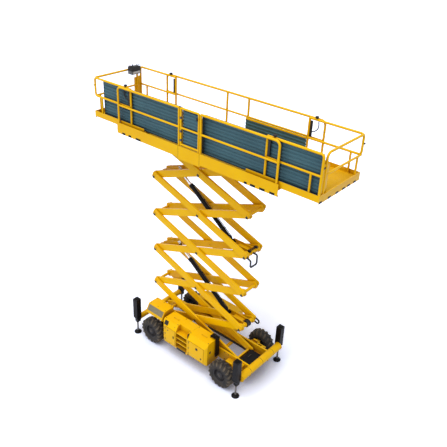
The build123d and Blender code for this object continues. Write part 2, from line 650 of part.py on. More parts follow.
def sheet_outline(y, z0, z1):
    """Section of a corrugated sheet in (y, z): flat pans and raised ribs that run along X."""
    count = round((z1 - z0) / RIB_PITCH)
    pitch = (z1 - z0) / count
    front = []
    for i in range(count):
        low = z0 + i * pitch
        front += [(y, low), (y, low + 0.45 * pitch), (y + RIB_DEPTH, low + 0.58 * pitch), (y + RIB_DEPTH, low + 0.87 * pitch)]
    front.append((y, z1))
    back = [(a + SHEET, b) for a, b in reversed(front)]
    return front + back


def panel(x0, x1, y, z0, z1):
    return prism_x(sheet_outline(y, z0, z1), x0, x1)


# the main sheets hang inboard of the extensions' rails, and the extensions' sheets inboard of them
PANEL_Z0, PANEL_Z1 = EXT_FLOOR_Z + 15, TOP_RAIL_Z - 20
MAIN_PANEL_Y = -EXT_RAIL_Y + RAIL_R + 6
EXT_PANEL_Y = MAIN_PANEL_Y + RIB_DEPTH + SHEET + 6
save("main_panels",
     panel(POST_X[0] + 40, POST_X[1] - 4, MAIN_PANEL_Y, PANEL_Z0, PANEL_Z1),
     panel(POST_X[2] + 4, POST_X[3] - 40, MAIN_PANEL_Y, PANEL_Z0, PANEL_Z1),
     mirror_y(panel(POST_X[2] + 20, 2290, MAIN_PANEL_Y, PANEL_Z0, MID_RAIL_Z - 20)))


# ---------------------------------------------------------------- gate
GATE_X0, GATE_X1 = POST_X[1] + RAIL_R + 8 + MID_R, POST_X[2] - RAIL_R - 8 - MID_R


def gate_frame():
    x0, x1, y, z0 = GATE_X0, GATE_X1, -RAIL_Y, SKIRT_Z1 + 15
    hoop = bent_tube([(x0, y, z0), (x0, y, TOP_RAIL_Z), (x1, y, TOP_RAIL_Z), (x1, y, z0)], 34, MID_R)
    bars = [rod((x0, y, z), (x1, y, z), MID_R - 3) for z in (z0 + 35, MID_RAIL_Z)]
    return fuse([hoop, *bars])


save("gate_frame", gate_frame())
save("gate_panel", panel(GATE_X0 + 48, GATE_X1 - 4, -RAIL_Y + MID_R + 1, SKIRT_Z1 + 20, PANEL_Z1 - 5))


# ---------------------------------------------------------------- extension decks, built for the front end
def extension_deck():
    y = EXT_RAIL_Y + RAIL_R + 1
    pieces = [block(EXT_INNER_X, PLATFORM_HALF, -y, y, EXT_FLOOR_Z - 20, EXT_FLOOR_Z)]
    for side in (-1, 1):
        y0, y1 = sorted((side * (y - 0.5), side * (y + 7)))
        pieces.append(block(EXT_INNER_X, PLATFORM_HALF, y0, y1, EXT_Z0, EXT_Z1))
    pieces.append(block(PLATFORM_HALF - 8, PLATFORM_HALF, -y - 7, y + 7, EXT_Z0 - 35, EXT_Z1))
    return fuse(pieces)


EXT_POST_X, EXT_LOWER_POST_X = 2300.0, 3530.0
CORNER_PLATE_Z = 7950.0


def extension_rails():
    """Railing of the front extension. Its right corner is a full-height bend with a plate, its left an overhanging loop."""
    y, end = EXT_RAIL_Y, PLATFORM_HALF - RAIL_R - 10
    inner, lower = EXT_POST_X, EXT_LOWER_POST_X
    z0 = EXT_FLOOR_Z
    top, mid = TOP_RAIL_Z, MID_RAIL_Z
    pieces = [
        # right-hand side: bend at the end corner
        bent_tube([(end, -y, z0), (end, -y, top), (inner, -y, top)], 75, RAIL_R),
        rod((inner, -y, z0), (inner, -y, top), RAIL_R),
        rod((inner, -y, mid), (end, -y, mid), MID_R),
        rod((lower, -y, z0), (lower, -y, mid), MID_R),
        block(end - 4, end + 4, -y, -y + 150, z0, CORNER_PLATE_Z),
        # left-hand side: the loop stands over the end of the deck
        bent_tube([(inner, y, top), (end, y, top), (end, y, mid), (inner, y, mid)], 80, RAIL_R),
        rod((inner, y, z0), (inner, y, top), RAIL_R),
        rod((lower, y, z0), (lower, y, mid), MID_R),
        # across the end
        bent_tube([(end, -y + 150, z0), (end, -y + 150, top), (end, y - 40, top)], 130, RAIL_R),
        rod((end, -y + 150, mid), (end, y, mid), MID_R),
        rod((end, y - 40, top), (end, y - 20, top - 40), MID_R),
        rod((end, y - 160, z0), (end, y - 160, mid), MID_R),
    ]
    return fuse(pieces)


front_panel = panel(2340, PLATFORM_HALF - 74, EXT_PANEL_Y, EXT_FLOOR_Z + 8, PANEL_Z1)
rear_panel = panel(-EXT_LOWER_POST_X + 20, -2340, EXT_PANEL_Y, EXT_FLOOR_Z + 8, PANEL_Z1)
deck, rails = extension_deck(), extension_rails()
save("front_extension_deck", deck)
save("front_extension_rails", rails)
save("front_extension_panel", front_panel)
save("rear_extension_deck", half_turn(deck))
save("rear_extension_rails", half_turn(rails))
save("rear_extension_panel", rear_panel)


# ---------------------------------------------------------------- control box on the rear end rail
def control_box():
    x, y = -PLATFORM_HALF + 70, 470.0
    body = block(x + 35, x + 235, y - 170, y + 170, TOP_RAIL_Z - 100, TOP_RAIL_Z + 130)
    hook = block(x - 60, x + 36, y - 60, y + 60, TOP_RAIL_Z + RAIL_R + 1, TOP_RAIL_Z + RAIL_R + 16)
    return fuse([body, hook])


save("control_box", control_box())
print("levels", [round(z) for z in LEVELS], "front pins at x", round(FRONT_PIN_X))
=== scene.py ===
"""Looks of a rough-terrain scissor lift, built around its CAD frame. Metres, +X front, +Y left, +Z up."""

import json
from math import cos, hypot, pi, radians, sin, tan

import bmesh
import bpy
from mathutils import Matrix, Vector


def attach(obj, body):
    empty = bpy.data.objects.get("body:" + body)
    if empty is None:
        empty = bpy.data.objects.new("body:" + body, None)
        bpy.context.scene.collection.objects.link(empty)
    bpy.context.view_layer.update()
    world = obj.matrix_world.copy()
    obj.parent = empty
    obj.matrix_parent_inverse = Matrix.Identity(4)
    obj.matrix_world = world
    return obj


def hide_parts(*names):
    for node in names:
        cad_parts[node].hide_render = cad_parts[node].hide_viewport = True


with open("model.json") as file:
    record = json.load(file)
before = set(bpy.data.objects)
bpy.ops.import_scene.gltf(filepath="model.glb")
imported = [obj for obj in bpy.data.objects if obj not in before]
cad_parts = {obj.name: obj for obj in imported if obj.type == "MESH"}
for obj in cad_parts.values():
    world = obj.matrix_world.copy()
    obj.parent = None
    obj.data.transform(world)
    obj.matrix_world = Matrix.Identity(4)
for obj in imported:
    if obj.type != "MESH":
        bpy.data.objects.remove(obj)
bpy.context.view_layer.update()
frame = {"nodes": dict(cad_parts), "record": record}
nodes = frame["nodes"]


# ---- camera, stage and light
CAMERA_AT = Vector((9.476, -11.121, 13.062))
YAW, PITCH, ROLL, LENS = radians(39.13), radians(29.95), radians(2.74), 47.27
# name, way the light goes, strength, and how wide the lamp looks, in degrees
SUNS = (("key", (0.10, 0.36, -0.93), 1.75, 55), ("fill", (-0.42, 0.78, -0.42), 0.80, 60))
# the world's colour as a light, and as it shows
WORLD_LIGHT, WORLD_SEEN = (0.47, 0.48, 0.52, 1), (1, 1, 1, 1)
FLOOR_HALF, FLOOR_DROP = 120, 0.001
# the floor's colour in the light that it throws back, its painted shadow as it shows close to the object, and
# its colour as it shows further away
FLOOR_BOUNCE, FLOOR_PAINTED_SHADOW, FLOOR_SEEN = (0.40, 0.40, 0.41, 1), (0.50, 0.53, 0.66, 1), (1.32, 1.38, 1.56, 1)
# how far the ambient occlusion behind the floor's painted shadow reaches, in metres
FLOOR_SHADOW_REACH = 1.6


def make_camera():
    forward = Vector((-sin(YAW) * cos(PITCH), cos(YAW) * cos(PITCH), -sin(PITCH)))
    across = Vector((cos(YAW), sin(YAW), 0))
    upright = across.cross(forward)
    right = across * cos(ROLL) + upright * sin(ROLL)
    up = upright * cos(ROLL) - across * sin(ROLL)
    data = bpy.data.cameras.new("camera")
    data.lens, data.sensor_width = LENS, 36.0
    data.clip_end = 400
    camera = bpy.data.objects.new("camera", data)
    camera.matrix_world = Matrix.Translation(CAMERA_AT) @ Matrix((right, up, -forward)).transposed().to_4x4()
    bpy.context.scene.collection.objects.link(camera)
    bpy.context.scene.camera = camera


def math_node(tree, operation, *values):
    """A Math node's result. Each value is a number or another node's output."""
    node = tree.nodes.new("ShaderNodeMath")
    node.operation = operation
    for socket, value in zip(node.inputs, values):
        if isinstance(value, float):
            socket.default_value = value
        else:
            tree.links.new(value, socket)
    return node.outputs[0]


def is_seen(tree):
    """1 for rays that show the surface itself: from the camera, a reflection or through glass."""
    path = tree.nodes.new("ShaderNodeLightPath")
    direct = math_node(tree, "MAXIMUM", path.outputs["Is Camera Ray"], path.outputs["Is Glossy Ray"])
    return math_node(tree, "MAXIMUM", direct, path.outputs["Is Transmission Ray"])


def make_light():
    scene = bpy.context.scene
    scene.view_settings.view_transform = "Standard"
    world = bpy.data.worlds.new("studio")
    scene.world = world
    world.use_nodes = True
    tree = world.node_tree
    colour = mix_colour(tree, is_seen(tree), WORLD_LIGHT, WORLD_SEEN)
    tree.links.new(colour, tree.nodes["Background"].inputs["Color"])
    for name, aim, strength, angle in SUNS:
        data = bpy.data.lights.new(name, "SUN")
        data.energy, data.angle = strength, radians(angle)
        lamp = bpy.data.objects.new(name, data)
        lamp.rotation_euler = Vector(aim).to_track_quat("-Z", "Y").to_euler()
        scene.collection.objects.link(lamp)


def make_floor():
    mesh = bpy.data.meshes.new("floor")
    corners = [(x * FLOOR_HALF, y * FLOOR_HALF, 0) for x, y in ((-1, -1), (1, -1), (1, 1), (-1, 1))]
    mesh.from_pydata(corners, [], [(0, 1, 2, 3)])
    floor = bpy.data.objects.new("floor", mesh)
    floor.location.z = -FLOOR_DROP
    bpy.context.scene.collection.objects.link(floor)
    material, tree, shader = new_material("floor", 0.9)
    shader.inputs["Specular IOR Level"].default_value = 0.1
    # painted shadow: the floor shows darker close to the object, from an ambient occlusion node
    shown = mix_colour(tree, painted_shade_mask(tree, FLOOR_SHADOW_REACH), FLOOR_PAINTED_SHADOW, FLOOR_SEEN)
    tree.links.new(mix_colour(tree, is_seen(tree), FLOOR_BOUNCE, shown), shader.inputs["Base Color"])
    mesh.materials.append(material)


# ---- materials
BLACK, WHITE = (0, 0, 0, 1), (1, 1, 1, 1)


def linear(c):
    """A screen channel from 0 to 255 as a linear one."""
    return c / 255 / 12.92 if c <= 10 else ((c / 255 + 0.055) / 1.055) ** 2.4


def rgb(red, green, blue):
    """A screen colour from 0 to 255 as the linear colour that a shader takes."""
    return (linear(red), linear(green), linear(blue), 1)


def darker(colour, share):
    return tuple(c * share for c in colour[:3]) + (1,)


def new_material(name, roughness, metallic=0.0):
    material = bpy.data.materials.new(name)
    material.use_nodes = True
    shader = material.node_tree.nodes["Principled BSDF"]
    shader.inputs["Roughness"].default_value = roughness
    shader.inputs["Metallic"].default_value = metallic
    return material, material.node_tree, shader


def place_texture(tree, stretch=(1, 1, 1)):
    where = tree.nodes.new("ShaderNodeTexCoord")
    mapping = tree.nodes.new("ShaderNodeMapping")
    mapping.inputs["Scale"].default_value = stretch
    tree.links.new(where.outputs["Object"], mapping.inputs["Vector"])
    return mapping.outputs["Vector"]


def noise(tree, scale, detail, stretch=(1, 1, 1)):
    node = tree.nodes.new("ShaderNodeTexNoise")
    node.inputs["Scale"].default_value = scale
    node.inputs["Detail"].default_value = detail
    tree.links.new(place_texture(tree, stretch), node.inputs["Vector"])
    return node.outputs["Fac"]


def ramp(tree, value, stops):
    node = tree.nodes.new("ShaderNodeValToRGB")
    band = node.color_ramp
    while len(band.elements) < len(stops):
        band.elements.new(0.5)
    for element, (at, colour) in zip(band.elements, stops):
        element.position, element.color = at, colour
    tree.links.new(value, node.inputs["Fac"])
    return node.outputs["Color"]


def level(tree, value, low, high):
    """value, from 0 to 1, brought to a range."""
    node = tree.nodes.new("ShaderNodeMapRange")
    node.inputs["To Min"].default_value, node.inputs["To Max"].default_value = low, high
    tree.links.new(value, node.inputs["Value"])
    return node.outputs["Result"]


def mix_colour(tree, factor, first, second):
    node = tree.nodes.new("ShaderNodeMix")
    node.data_type = "RGBA"
    for socket, value in (("A", first), ("B", second)):
        if isinstance(value, tuple):
            node.inputs[socket].default_value = value
        else:
            tree.links.new(value, node.inputs[socket])
    tree.links.new(factor, node.inputs["Factor"])
    return node.outputs["Result"]


def bump(tree, shader, height, distance, strength=1.0, soft_edge=0.0):
    """Bump from a height, on top of edges that the light rounds by soft_edge."""
    node = tree.nodes.new("ShaderNodeBump")
    node.inputs["Distance"].default_value = distance
    node.inputs["Strength"].default_value = strength
    tree.links.new(height, node.inputs["Height"])
    if soft_edge:
        rounder = tree.nodes.new("ShaderNodeBevel")
        rounder.samples = 4
        rounder.inputs["Radius"].default_value = soft_edge
        tree.links.new(rounder.outputs["Normal"], node.inputs["Normal"])
    tree.links.new(node.outputs["Normal"], shader.inputs["Normal"])


def painted_shade_mask(tree, reach):
    """Mask for painted shade: 0 far into corners and between members, 1 out in the open."""
    node = tree.nodes.new("ShaderNodeAmbientOcclusion")
    node.samples = 6
    node.inputs["Distance"].default_value = reach
    return ramp(tree, node.outputs["AO"], [(0.15, BLACK), (0.85, WHITE)])


def low_down(tree, height, most):
    """0 from a height upwards, rising to most on the ground."""
    where = tree.nodes.new("ShaderNodeNewGeometry")
    split = tree.nodes.new("ShaderNodeSeparateXYZ")
    tree.links.new(where.outputs["Position"], split.inputs["Vector"])
    node = tree.nodes.new("ShaderNodeMapRange")
    node.inputs["From Min"].default_value = height
    node.inputs["From Max"].default_value = 0.0
    node.inputs["To Max"].default_value = most
    tree.links.new(split.outputs["Z"], node.inputs["Value"])
    return node.outputs["Result"]


def paint(name, colour, shade, roughness=0.34, dust=(150, 140, 120), dust_height=0.0, crease_shade=None, gloss=0.3):
    """Enamel with uneven depth, orange peel, painted shade in creases and between members, and dust that
    gathers near the ground.
    """
    material, tree, shader = new_material(name, roughness)
    shader.inputs["Specular IOR Level"].default_value = gloss
    body = ramp(tree, noise(tree, 1.3, 4), [(0.25, shade), (0.75, colour)])
    speck = ramp(tree, noise(tree, 38, 5), [(0.60, BLACK), (0.78, (0.16, 0.16, 0.16, 1))])
    body = mix_colour(tree, speck, body, rgb(*dust))
    if dust_height:
        body = mix_colour(tree, low_down(tree, dust_height, 0.35), body, rgb(*dust))
    # painted shade: creases and the room between members take a darker colour, from an ambient occlusion node
    if crease_shade:
        body = mix_colour(tree, painted_shade_mask(tree, 0.5), crease_shade, body)
    tree.links.new(body, shader.inputs["Base Color"])
    rough = level(tree, noise(tree, 7, 4), roughness - 0.07, roughness + 0.1)
    tree.links.new(rough, shader.inputs["Roughness"])
    bump(tree, shader, noise(tree, 220, 2), 0.0006, 0.35, 0.004)
    return material


def tread_plate(name, colour, shade):
    """Painted floor plate with raised lozenges in two crossing directions."""
    material, tree, shader = new_material(name, 0.5)
    shader.inputs["Specular IOR Level"].default_value = 0.15
    heights = []
    for turn in (45, -45):
        turned = tree.nodes.new("ShaderNodeMapping")
        turned.inputs["Rotation"].default_value[2] = radians(turn)
        turned.inputs["Scale"].default_value = (28, 28, 28)
        tree.links.new(place_texture(tree), turned.inputs["Vector"])
        split = tree.nodes.new("ShaderNodeSeparateXYZ")
        tree.links.new(turned.outputs["Vector"], split.inputs["Vector"])
        # a lozenge is 3.4 times as long as it is wide
        waves = [math_node(tree, "SINE", math_node(tree, "MULTIPLY", split.outputs[axis], pi * power))
                 for axis, power in (("X", 1.0), ("Y", 3.4))]
        heights.append(math_node(tree, "MULTIPLY", *waves))
    raised = ramp(tree, math_node(tree, "MAXIMUM", *heights), [(0.35, BLACK), (0.6, WHITE)])
    # the lozenges lighter than the plate between them
    lozenge_tone = mix_colour(tree, raised, shade, colour)
    scuff = ramp(tree, noise(tree, 2.2, 5), [(0.45, BLACK), (0.75, (0.35, 0.35, 0.35, 1))])
    tree.links.new(mix_colour(tree, scuff, lozenge_tone, rgb(206, 160, 50)), shader.inputs["Base Color"])
    bump(tree, shader, raised, 0.002, 0.8)
    return material


def rubber(name, colour, dust_and_highlight, roughness=0.82):
    material, tree, shader = new_material(name, roughness)
    # the lighter colour is dust, and on the tyre's lugs it is also a painted highlight
    cloud = ramp(tree, noise(tree, 5, 6), [(0.35, colour), (0.72, dust_and_highlight)])
    tree.links.new(cloud, shader.inputs["Base Color"])
    bump(tree, shader, noise(tree, 160, 3), 0.0008, 0.5)
    return material


def bare_metal(name, colour, roughness, streak=(1, 1, 1)):
    material, tree, shader = new_material(name, roughness, metallic=1.0)
    cloud = ramp(tree, noise(tree, 24, 4, streak), [(0.3, darker(colour, 0.8)), (0.7, colour)])
    tree.links.new(cloud, shader.inputs["Base Color"])
    rough = level(tree, noise(tree, 60, 3, streak), roughness - 0.05, roughness + 0.12)
    tree.links.new(rough, shader.inputs["Roughness"])
    return material


def plastic(name, colour, roughness=0.5):
    material, tree, shader = new_material(name, roughness)
    cloud = ramp(tree, noise(tree, 9, 4), [(0.3, darker(colour, 0.75)), (0.7, colour)])
    tree.links.new(cloud, shader.inputs["Base Color"])
    bump(tree, shader, noise(tree, 400, 2), 0.0004, 0.4, 0.003)
    return material


YELLOW, AMBER = rgb(254, 201, 0), rgb(246, 186, 0)
# yellow_paint and panel_teal take a darker colour as painted shade in creases and between members
MATERIALS = {
    "yellow_paint": paint("yellow_paint", YELLOW, AMBER, dust_height=0.7, crease_shade=rgb(170, 108, 10), gloss=0.16),
    "black_paint": paint("black_paint", rgb(15, 13, 15), rgb(8, 7, 8), 0.45, gloss=0.12, dust=(90, 84, 78)),
    "rim_paint": paint("rim_paint", rgb(52, 50, 52), rgb(36, 34, 36), 0.45, dust=(110, 100, 88)),
    "dark_steel": paint("dark_steel", rgb(62, 58, 56), rgb(40, 38, 38), 0.5, dust=(110, 96, 76)),
    "panel_teal": paint("panel_teal", rgb(72, 112, 122), rgb(56, 92, 103), 0.5, dust=(120, 130, 132),
                        crease_shade=rgb(26, 42, 50)),
    "bare_steel": bare_metal("bare_steel", rgb(120, 116, 112), 0.36),
    "cast_iron": paint("cast_iron", rgb(70, 70, 72), rgb(44, 44, 46), 0.6),
    "chrome": bare_metal("chrome", rgb(226, 226, 230), 0.12, (1, 1, 6)),
    "tyre_rubber": rubber("tyre_rubber", rgb(24, 22, 23), rgb(58, 52, 46)),
    "grey_plastic": plastic("grey_plastic", rgb(96, 98, 102)),
    "hose_rubber": rubber("hose_rubber", rgb(14, 13, 15), rgb(26, 24, 27), 0.55),
}
FLOOR_PLATE = tread_plate("floor_plate", rgb(250, 200, 20), rgb(226, 168, 10))
CONTROL_WHITE = plastic("control_white", rgb(214, 216, 220))
STOP_RED = plastic("stop_red", rgb(176, 26, 20), 0.4)
BOLT_STEEL = bare_metal("bolt_steel", rgb(92, 86, 80), 0.4)
# lugs lighter than the casing: dust on the tread, and a painted highlight on the lugs
LUG_RUBBER = rubber("lug_rubber", rgb(50, 44, 38), rgb(108, 96, 78))
# black parts, and dark plates that stand in for the shade in openings, recesses and gaps
BLACK_AND_SHADE = plastic("black_and_painted_shade", rgb(16, 14, 16), 0.7)
GRILLE = bare_metal("grille_mesh", rgb(150, 142, 120), 0.5)


# ---- building pieces
X_AXIS, Y_AXIS, Z_AXIS = Vector((1, 0, 0)), Vector((0, 1, 0)), Vector((0, 0, 1))
# a washer's thickness and radius, and the round on a bolt's head, as shares of the head
WASHER_THICK, WASHER_WIDE, HEAD_ROUND = 0.25, 1.45, 0.1
# points on each stretch of a smooth line
CURVE_STEPS = 8


class Piece:
    """One visible piece, put together from simple solids in the row frame."""

    def __init__(self, name, body, material, slot=None):
        self.name, self.body, self.material, self.slot = name, body, material, slot
        self.shape = bmesh.new()

    def add(self, part, bevel=0.0, segments=2, angle=35):
        """Joins a bmesh, after rounding its sharp edges."""
        if bevel:
            part.normal_update()
            sharp = radians(angle)
            edges = [e for e in part.edges if len(e.link_faces) == 2 and e.calc_face_angle(0) > sharp]
            bmesh.ops.bevel(part, geom=edges, offset=bevel, segments=segments, profile=0.5, affect="EDGES",
                            clamp_overlap=True)
        mesh = bpy.data.meshes.new("part")
        part.to_mesh(mesh)
        part.free()
        self.shape.from_mesh(mesh)
        bpy.data.meshes.remove(mesh)

    def box(self, low, high, bevel=0.004, segments=2):
        """A box between two opposite corners, given in any order."""
        low, high = Vector(low), Vector(high)
        part = bmesh.new()
        bmesh.ops.create_cube(part, size=1)
        bmesh.ops.scale(part, vec=[abs(s) for s in high - low], verts=part.verts)
        bmesh.ops.translate(part, vec=(low + high) / 2, verts=part.verts)
        self.add(part, bevel, segments)

    def block(self, middle, half, bevel=0.004):
        """A box given by its middle and half its size."""
        self.box(Vector(middle) - Vector(half), Vector(middle) + Vector(half), bevel)

    def rod(self, start, end, radius, sides=24, bevel=0.0):
        start, end = Vector(start), Vector(end)
        way = end - start
        part = bmesh.new()
        bmesh.ops.create_cone(part, cap_ends=True, segments=sides, radius1=radius, radius2=radius,
                              depth=way.length)
        spin = way.to_track_quat("Z", "Y").to_matrix()
        bmesh.ops.rotate(part, cent=(0, 0, 0), matrix=spin, verts=part.verts)
        bmesh.ops.translate(part, vec=(start + end) / 2, verts=part.verts)
        self.add(part, bevel, 2, 60)

    def post(self, at, z0, z1, radius, sides=24, bevel=0.0):
        """An upright rod at (x, y)."""
        self.rod((*at, z0), (*at, z1), radius, sides, bevel)

    def ring(self, outline, centre, axis, sides):
        """A closed outline of (radius, along) points, turned about an axis."""
        centre, axis = Vector(centre), Vector(axis).normalized()
        across = axis.orthogonal().normalized()
        other = axis.cross(across)
        part = bmesh.new()
        loops = []
        for i in range(sides):
            a = 2 * pi * i / sides
            out = across * cos(a) + other * sin(a)
            loops.append([part.verts.new(centre + out * r + axis * h) for r, h in outline])
        count = len(outline)
        for i in range(sides):
            one, two = loops[i], loops[(i + 1) % sides]
            for j in range(count):
                part.faces.new((one[j], two[j], two[(j + 1) % count], one[(j + 1) % count]))
        bmesh.ops.recalc_face_normals(part, faces=part.faces)
        self.add(part)

    def band(self, inner, outer, half, centre, axis, sides):
        """A plain ring, as long as twice half along its axis."""
        self.ring([(inner, -half), (outer, -half), (outer, half), (inner, half)], centre, axis, sides)

    def flange(self, radii, at):
        """The flange at the foot of a post: its bore, its foot and its shoulder are the radii."""
        bore, foot, shoulder = radii
        self.ring([(bore, 0.0), (foot, 0.0), (shoulder, 0.012), (bore, 0.018)], at, Z_AXIS, 28)

    def plate(self, origin, across, up, span, rise, thick):
        """A slanted plate: span along across, rise along up, from an origin, pushed out by a vector."""
        part = bmesh.new()
        corners = ((span[0], rise[0]), (span[1], rise[0]), (span[1], rise[1]), (span[0], rise[1]))
        face = part.faces.new([part.verts.new(origin + across * a + up * u) for a, u in corners])
        pushed = bmesh.ops.extrude_face_region(part, geom=[face])
        moved = [v for v in pushed["geom"] if isinstance(v, bmesh.types.BMVert)]
        bmesh.ops.translate(part, vec=thick, verts=moved)
        bmesh.ops.recalc_face_normals(part, faces=part.faces)
        self.add(part)

    def bars(self, points, radius, sides=8):
        """A round bar along straight runs."""
        self.tube(points, radius, sides, smooth=False)

    def tube(self, points, radius, sides=12, smooth=True):
        """A round tube along a smooth line through points."""
        line = spline(points) if smooth else [Vector(p) for p in points]
        part = bmesh.new()
        loops = []
        side = None
        for i, p in enumerate(line):
            way = (line[min(i + 1, len(line) - 1)] - line[max(i - 1, 0)]).normalized()
            side = way.orthogonal() if side is None else side - way * side.dot(way)
            side.normalize()
            other = way.cross(side)
            loops.append([part.verts.new(p + (side * cos(a) + other * sin(a)) * radius)
                          for a in (2 * pi * k / sides for k in range(sides))])
        for one, two in zip(loops, loops[1:]):
            for k in range(sides):
                part.faces.new((one[k], one[(k + 1) % sides], two[(k + 1) % sides], two[k]))
        part.faces.new(list(reversed(loops[0])))
        part.faces.new(loops[-1])
        bmesh.ops.recalc_face_normals(part, faces=part.faces)
        self.add(part)

    def bolt(self, at, axis, radius=0.012, height=0.009, washer=True):
        at, axis = Vector(at), Vector(axis).normalized()
        if washer:
            self.rod(at, at + axis * height * WASHER_THICK, radius * WASHER_WIDE, 16)
        self.rod(at, at + axis * height, radius, 6, bevel=radius * HEAD_ROUND)

    def done(self, smooth_below=32, replaces=()):
        mesh = bpy.data.meshes.new(self.name)
        bmesh.ops.remove_doubles(self.shape, verts=self.shape.verts, dist=1e-6)
        self.shape.to_mesh(mesh)
        self.shape.free()
        for polygon in mesh.polygons:
            polygon.use_smooth = True
        mesh.set_sharp_from_angle(angle=radians(smooth_below))
        mesh.materials.append(self.material)
        piece = bpy.data.objects.new(self.name, mesh)
        bpy.context.scene.collection.objects.link(piece)
        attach(piece, self.body)
        if replaces:
            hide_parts(*replaces)
        return piece


def coated(name, body, slot):
    """A piece with the finish of one of the record's material slots."""
    return Piece(name, body, MATERIALS[slot], slot)


def spline(points):
    """Points along a smooth curve that passes through the given ones."""
    p = [Vector(q) for q in points]
    p = [p[0] * 2 - p[1], *p, p[-1] * 2 - p[-2]]
    line = []
    for a, b, c, d in zip(p, p[1:], p[2:], p[3:]):
        for i in range(CURVE_STEPS):
            t = i / CURVE_STEPS
            line.append(0.5 * (2 * b + (c - a) * t + (2 * a - 5 * b + 4 * c - d) * t ** 2
                               + (3 * b - a - 3 * c + d) * t ** 3))
    return line + [p[-2]]


def finish_of(node, material):
    """Gives a CAD node that keeps its shape a procedural finish."""
    data = nodes[node].data
    data.materials.clear()
    data.materials.append(material)
    for polygon in data.polygons:
        polygon.material_index = 0


SLOT_OF = {part["node"]: part["material_slot"] for part in frame["record"]["subparts"]}
for node_name in nodes:
    finish_of(node_name, MATERIALS[SLOT_OF[node_name]])

make_camera()
make_light()
make_floor()

# ---- CAD dimensions that details hang on, in metres
ARM_ANGLE, ARM_LENGTH, STAGES = radians(19.8), 3.725, 5
PIVOT_X, PIVOT_Z = -2.0, 0.56
FRONT_X = PIVOT_X + ARM_LENGTH * cos(ARM_ANGLE)
LEVELS = [PIVOT_Z + k * ARM_LENGTH * sin(ARM_ANGLE) for k in range(STAGES + 1)]
OUTER_FACE, INNER_FACE = 0.355, 0.225
TYRE_R, WHEEL_Y, FRONT_AXLE, REAR_AXLE = 0.43, 0.97, 1.42, -1.5
PLATFORM_Y, RAIL_Y, EXT_RAIL_Y = 0.985, 0.946, 0.868
DECK_HALF, PLATFORM_HALF = 2.79, 3.84
TOP_RAIL, FLOOR_Z, EXT_FLOOR_Z = 8.205, 7.06, 7.13
POSTS = (-2.735, -0.41, 0.335, 2.705)
POD_Y, POD_TOP = -1.11, 1.25
DOOR_Y = -1.118
CHASSIS_RAIL_Y = 0.465
SIDES = (-1, 1)
EXTENSIONS = ((1, "front_extension"), (-1, "rear_extension"))


def outer_point(stage, a, p):
    """(x, z) of a point on an outer arm, a down it from its rear pin and p across it."""
    c, s = cos(ARM_ANGLE), sin(ARM_ANGLE)
    return PIVOT_X + a * c + p * s, LEVELS[stage] - a * s + p * c


def inner_point(stage, a, p):
    """(x, z) of a point on an inner arm, a up it from its rear pin and p across it."""
    c, s = cos(ARM_ANGLE), sin(ARM_ANGLE)
    return PIVOT_X + a * c - p * s, LEVELS[stage - 1] + a * s + p * c


# ---- wheels
# sections of a tyre lug from the middle outwards: (distance from the middle, radius, half angle, lead angle)
LUG = [(0.004, 0.428, 0.050, 0.00), (0.060, 0.430, 0.060, 0.05), (0.112, 0.427, 0.066, 0.105),
       (0.140, 0.412, 0.064, 0.125), (0.151, 0.370, 0.050, 0.130)]
# how deep a lug goes into the casing, and how much wider it is there
LUG_DEPTH, LUG_SPREAD = 0.045, 1.18
LUG_COUNT, WHEEL_NUTS = 17, 10
# half of the casing's section, from one bead to the crown: (radius, along)
CASING = [(0.214, -0.118), (0.232, -0.134), (0.262, -0.146), (0.330, -0.149), (0.372, -0.138),
          (0.396, -0.110), (0.404, -0.050), (0.405, 0.0)]
# a thin rib on the sidewall: (out from its radius, along)
SIDEWALL_RIB, SIDEWALL_RIBS_AT = ((-0.004, 0.142), (0, 0.151), (0.004, 0.142)), (0.250, 0.300)
# section of the disc, from its outboard flange to its inboard one and back: (radius, along)
DISC = [(0.226, 0.136), (0.232, 0.128), (0.224, 0.116), (0.212, 0.112), (0.206, 0.020), (0.214, -0.112),
        (0.226, -0.118), (0.232, -0.128), (0.226, -0.136), (0.206, -0.120), (0.196, 0.010), (0.180, 0.030),
        (0.150, 0.044), (0.118, 0.050), (0.100, 0.066), (0.092, 0.090), (0.070, 0.096), (0.052, 0.096),
        (0.050, 0.080), (0.050, 0.092), (0.072, 0.104), (0.098, 0.098), (0.108, 0.074), (0.122, 0.058),
        (0.152, 0.052), (0.184, 0.038), (0.198, 0.060), (0.204, 0.118)]


def add_lug(piece, centre, side, start):
    """One lug of the chevron tread, from the middle of the tyre to its shoulder."""
    part = bmesh.new()
    loops = []
    for y, r, half, lead in LUG:
        loop = []
        foot = r - LUG_DEPTH
        for turn, radius in ((-half * LUG_SPREAD, foot), (-half, r), (half, r), (half * LUG_SPREAD, foot)):
            a = start + lead + turn
            corner = (centre[0] + radius * sin(a), centre[1] + side * y, centre[2] + radius * cos(a))
            loop.append(part.verts.new(corner))
        loops.append(loop)
    for one, two in zip(loops, loops[1:]):
        for k in range(4):
            part.faces.new((one[k], one[(k + 1) % 4], two[(k + 1) % 4], two[k]))
    part.faces.new(list(reversed(loops[0])))
    part.faces.new(loops[-1])
    bmesh.ops.recalc_face_normals(part, faces=part.faces)
    piece.add(part, 0.004, 1, 30)


def make_tyre(name, centre):
    body = f"wheel_{name}"
    tread = coated(f"tread_{name}", body, "tyre_rubber")
    tread.ring(CASING + [(r, -y) for r, y in reversed(CASING[:-1])], centre, Y_AXIS, 72)
    for r in SIDEWALL_RIBS_AT:
        for s in SIDES:
            tread.ring([(r + out, s * y) for out, y in SIDEWALL_RIB], centre, Y_AXIS, 60)
    tread.done(40, [f"tyre_{name}"])
    lugs = Piece(f"lugs_{name}", body, LUG_RUBBER)
    for i in range(LUG_COUNT):
        for s in SIDES:
            # the two rows are half a lug apart
            add_lug(lugs, centre, s, 2 * pi * (i + (0.5 if s > 0 else 0)) / LUG_COUNT)
    lugs.done(40)


